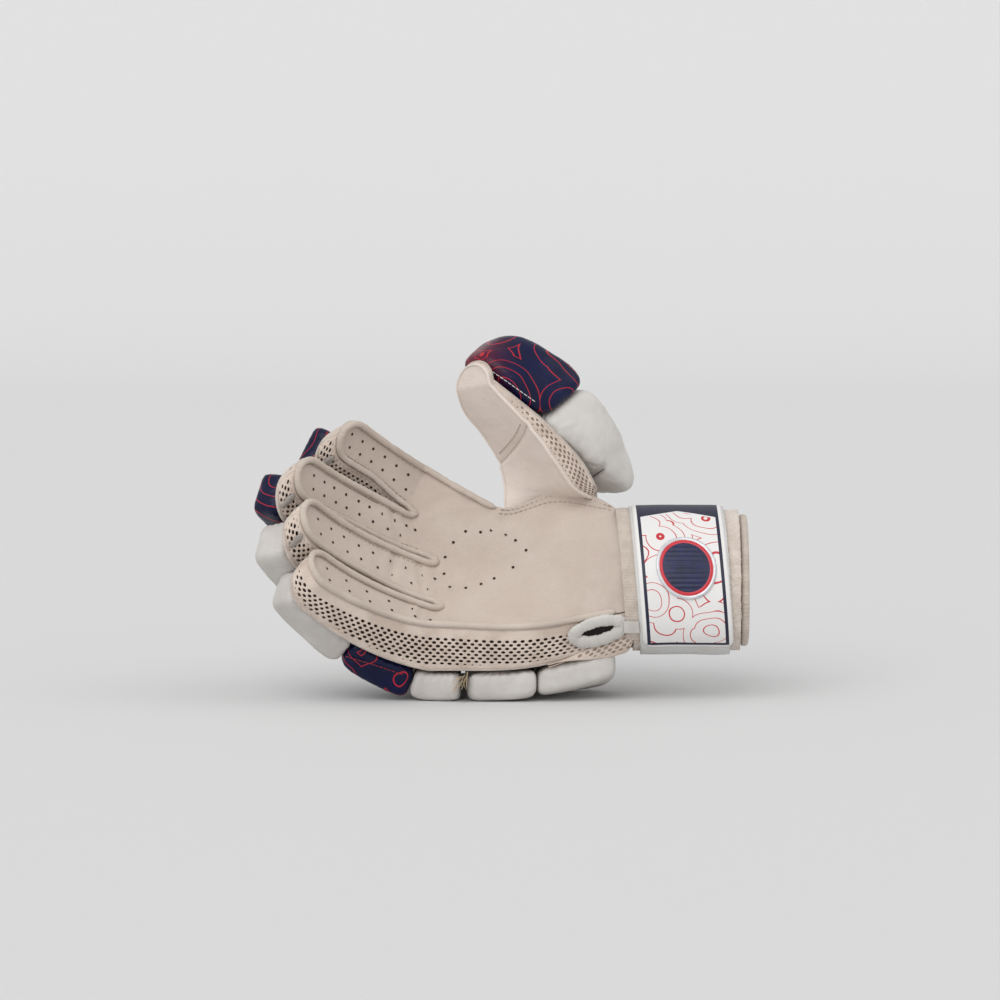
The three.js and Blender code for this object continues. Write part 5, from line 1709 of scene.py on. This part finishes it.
class GLOVE_OT_strap(bpy.types.Operator):
    """Closing strap with its printed panel and oval badge"""

    bl_idname = "glove.strap"
    bl_label = "Strap"

    def execute(self, context):
        rolls, wrist = context.scene.glove_rolls, context.scene.glove_wrist
        white = coated_leather("white coated strap", rolls.white, "#CDCECD")
        band = closed_band(STRAP_SPAN, 0.5, 50, 220, band_relief(9.0, 0.3, 0.03))
        part("closing_strap", band, [white], ["strap"], 2.0)
        net, uv, tall = patch_panel()
        size = (2 * PANEL_HALF, tall)
        printed = panel_print("printed polyurethane panel", size, "#E4E2E0", rolls.navy, rolls.red)
        part("strap_panel", net_shape(net, True), [printed], ["strap_patch"], 1.2, uv=uv)
        net, faces, index = badge_mesh()
        finishes = [moulded_rubber("navy moulded rubber", rolls.navy, "#0F1A4C", 0.38),
                    moulded_rubber("red moulded rubber", rolls.red, "#CF3440", 0.38),
                    moulded_rubber("silver foil on moulded rubber", wrist.silver, "#D9DBDE", 0.28, 0.35)]
        badge = pointed(net.reshape(-1, 3), reversed_faces(faces))
        part("oval_badge", badge, finishes, ["strap_badge"], index=index)
        thread = yarn_cloth("navy polyester thread", "#2A3566", "#20294F", 0.3, 0.08)
        path = np.concatenate([wrist_point(np.linspace(66, 102, 40), 31, 2.6),
                               wrist_point(102.3, np.linspace(32, 170, 120), 2.6),
                               wrist_point(np.linspace(102, 66, 40), 171, 2.6),
                               wrist_point(65.4, np.linspace(170, 32, 120), 2.6)])
        out = unit(path - wrist_point(path[:, 0], 0.0, -33.0))
        part("strap_stitching", stitches(path, out, 2.2, 1.5, 0.18), [thread])
        return {"FINISHED"}


class GLOVE_OT_side_slit(bpy.types.Operator):
    """Bound slit of the little-finger side, the tab beside it and the elastic end between two rolls, whose
    black is partly painted shade of the gap
    """

    bl_idname = "glove.side_slit"
    bl_label = "Side slit"

    def execute(self, context):
        white = coated_leather("white coated binding", "#CFCBC6", "#BDB8B2")
        dark = yarn_cloth("shadow inside the slit", "#1D1714", "#15110F")
        binding, floor = slit_mesh()
        part("slit_ruched_binding", binding, [white], ["slit_binding"])
        part("slit_floor", floor, [dark])
        x = np.linspace(*TAB_SPAN, 24)[:, None]
        angle = np.linspace(146, 157, 26)[None, :]
        tab = net_shape(wrist_point(x, angle, 1.9 + band_relief(5.0, 0.2, 0.03)(x, angle)), True)
        part("white_side_tab", tab, [white], ["side_tab"], 1.1)
        # Black strip between two rolls: partly black elastic, partly painted shade of the hollow gap there
        rubber = yarn_cloth("black woven elastic and painted gap shade", "#1A1817", "#100F0E", 0.6, 0.2)
        part("elastic_end_and_gap_shade", elastic_and_gap_shade_strip(), [rubber], wall=0.8)
        thread = yarn_cloth("frayed polyester thread", "#C9B79C", "#B5A184", 0.3, 0.05)
        part("frayed_threads", frayed_threads(), [thread])
        return {"FINISHED"}


class GLOVE_OT_stage(bpy.types.Operator):
    """Pale paper sweep, soft lights and the camera at the photograph's viewing angle"""

    bl_idname = "glove.stage"
    bl_label = "Stage"

    def execute(self, context):
        chosen = context.scene.glove_stage
        scene = context.scene
        paper, tree = new_tree("matt photographic paper")
        surface(paper, tree, linear(chosen.floor), 0.95, Specular_IOR_Level=0.1)
        # Flat floor, then a quarter circle of 1 m, then a wall
        turn = np.linspace(0, math.pi / 2, 24)
        y = np.concatenate([[-6, 1.6], 1.6 + np.sin(turn[1:]), [2.6]])
        z = np.concatenate([[0, 0], 1 - np.cos(turn[1:]), [4]])
        x = np.array([-6, 6])
        points, faces = net_shape(np.stack(np.broadcast_arrays(x[None, :], y[:, None], z[:, None]), -1))
        mesh = bpy.data.meshes.new("paper_sweep")
        mesh.from_pydata(points.tolist(), [], faces)
        mesh.materials.append(paper)
        mesh.polygons.foreach_set("use_smooth", np.ones(len(mesh.polygons), bool))
        sweep = bpy.data.objects.new("paper_sweep", mesh)
        scene.collection.objects.link(sweep)
        world = bpy.data.worlds.new("even studio fill")
        world.use_nodes = True
        fill = world.node_tree.nodes["Background"]
        fill.inputs["Color"].default_value = (1, 1, 1, 1)
        fill.inputs["Strength"].default_value = chosen.sky
        scene.world = world
        for name, toward, spread, share in LIGHTS:
            lamp = bpy.data.lights.new(name, "SUN")
            lamp.angle = math.radians(spread)
            lamp.energy = chosen.key * share
            holder = bpy.data.objects.new(name, lamp)
            holder.rotation_euler = Vector(toward).to_track_quat("-Z", "Y").to_euler()
            scene.collection.objects.link(holder)
        camera = bpy.data.cameras.new("camera")
        camera.lens = SENSOR * chosen.distance / (PHOTO_WIDTH * PIXEL_MM * MM)
        camera.sensor_width = SENSOR
        middle = Vector(stand(np.array(VIEW_MIDDLE)))
        back = Vector((0, -math.cos(LEAN), math.sin(LEAN)))
        holder = bpy.data.objects.new("camera", camera)
        holder.location = middle + back * chosen.distance
        holder.rotation_euler = (-back).to_track_quat("-Z", "Y").to_euler()
        scene.collection.objects.link(holder)
        scene.camera = holder
        scene.view_settings.view_transform = "Standard"
        return {"FINISHED"}


class GLOVE_PT_panel(bpy.types.Panel):
    """Lists the glove's pieces in the order they are made"""

    bl_idname = "GLOVE_PT_panel"
    bl_label = "Batting glove"
    bl_space_type = "VIEW_3D"
    bl_region_type = "UI"
    bl_category = "Glove"

    def draw(self, context):
        for operator in OPERATORS:
            self.layout.operator(operator.bl_idname)


SETTINGS = {"glove_leather": LeatherSettings, "glove_mesh": MeshSettings, "glove_rolls": RollSettings,
            "glove_wrist": WristSettings, "glove_stage": StageSettings}
OPERATORS = (GLOVE_OT_finger_rolls, GLOVE_OT_thumb_rolls, GLOVE_OT_palm, GLOVE_OT_rolled_edges,
             GLOVE_OT_linings, GLOVE_OT_thumb_leather, GLOVE_OT_mesh_walls, GLOVE_OT_cuff,
             GLOVE_OT_strap, GLOVE_OT_side_slit, GLOVE_OT_stage)


def register():
    for cls in (*SETTINGS.values(), *OPERATORS, GLOVE_PT_panel):
        bpy.utils.register_class(cls)
    for key, cls in SETTINGS.items():
        setattr(bpy.types.Scene, key, PointerProperty(type=cls))


def unregister():
    for key in SETTINGS:
        delattr(bpy.types.Scene, key)
    for cls in (GLOVE_PT_panel, *reversed(OPERATORS), *SETTINGS.values()):
        bpy.utils.unregister_class(cls)


def main():
    register()
    for operator in OPERATORS:
        group, name = operator.bl_idname.split(".")
        getattr(getattr(bpy.ops, group), name)()


if __name__ == "__main__":
    main()
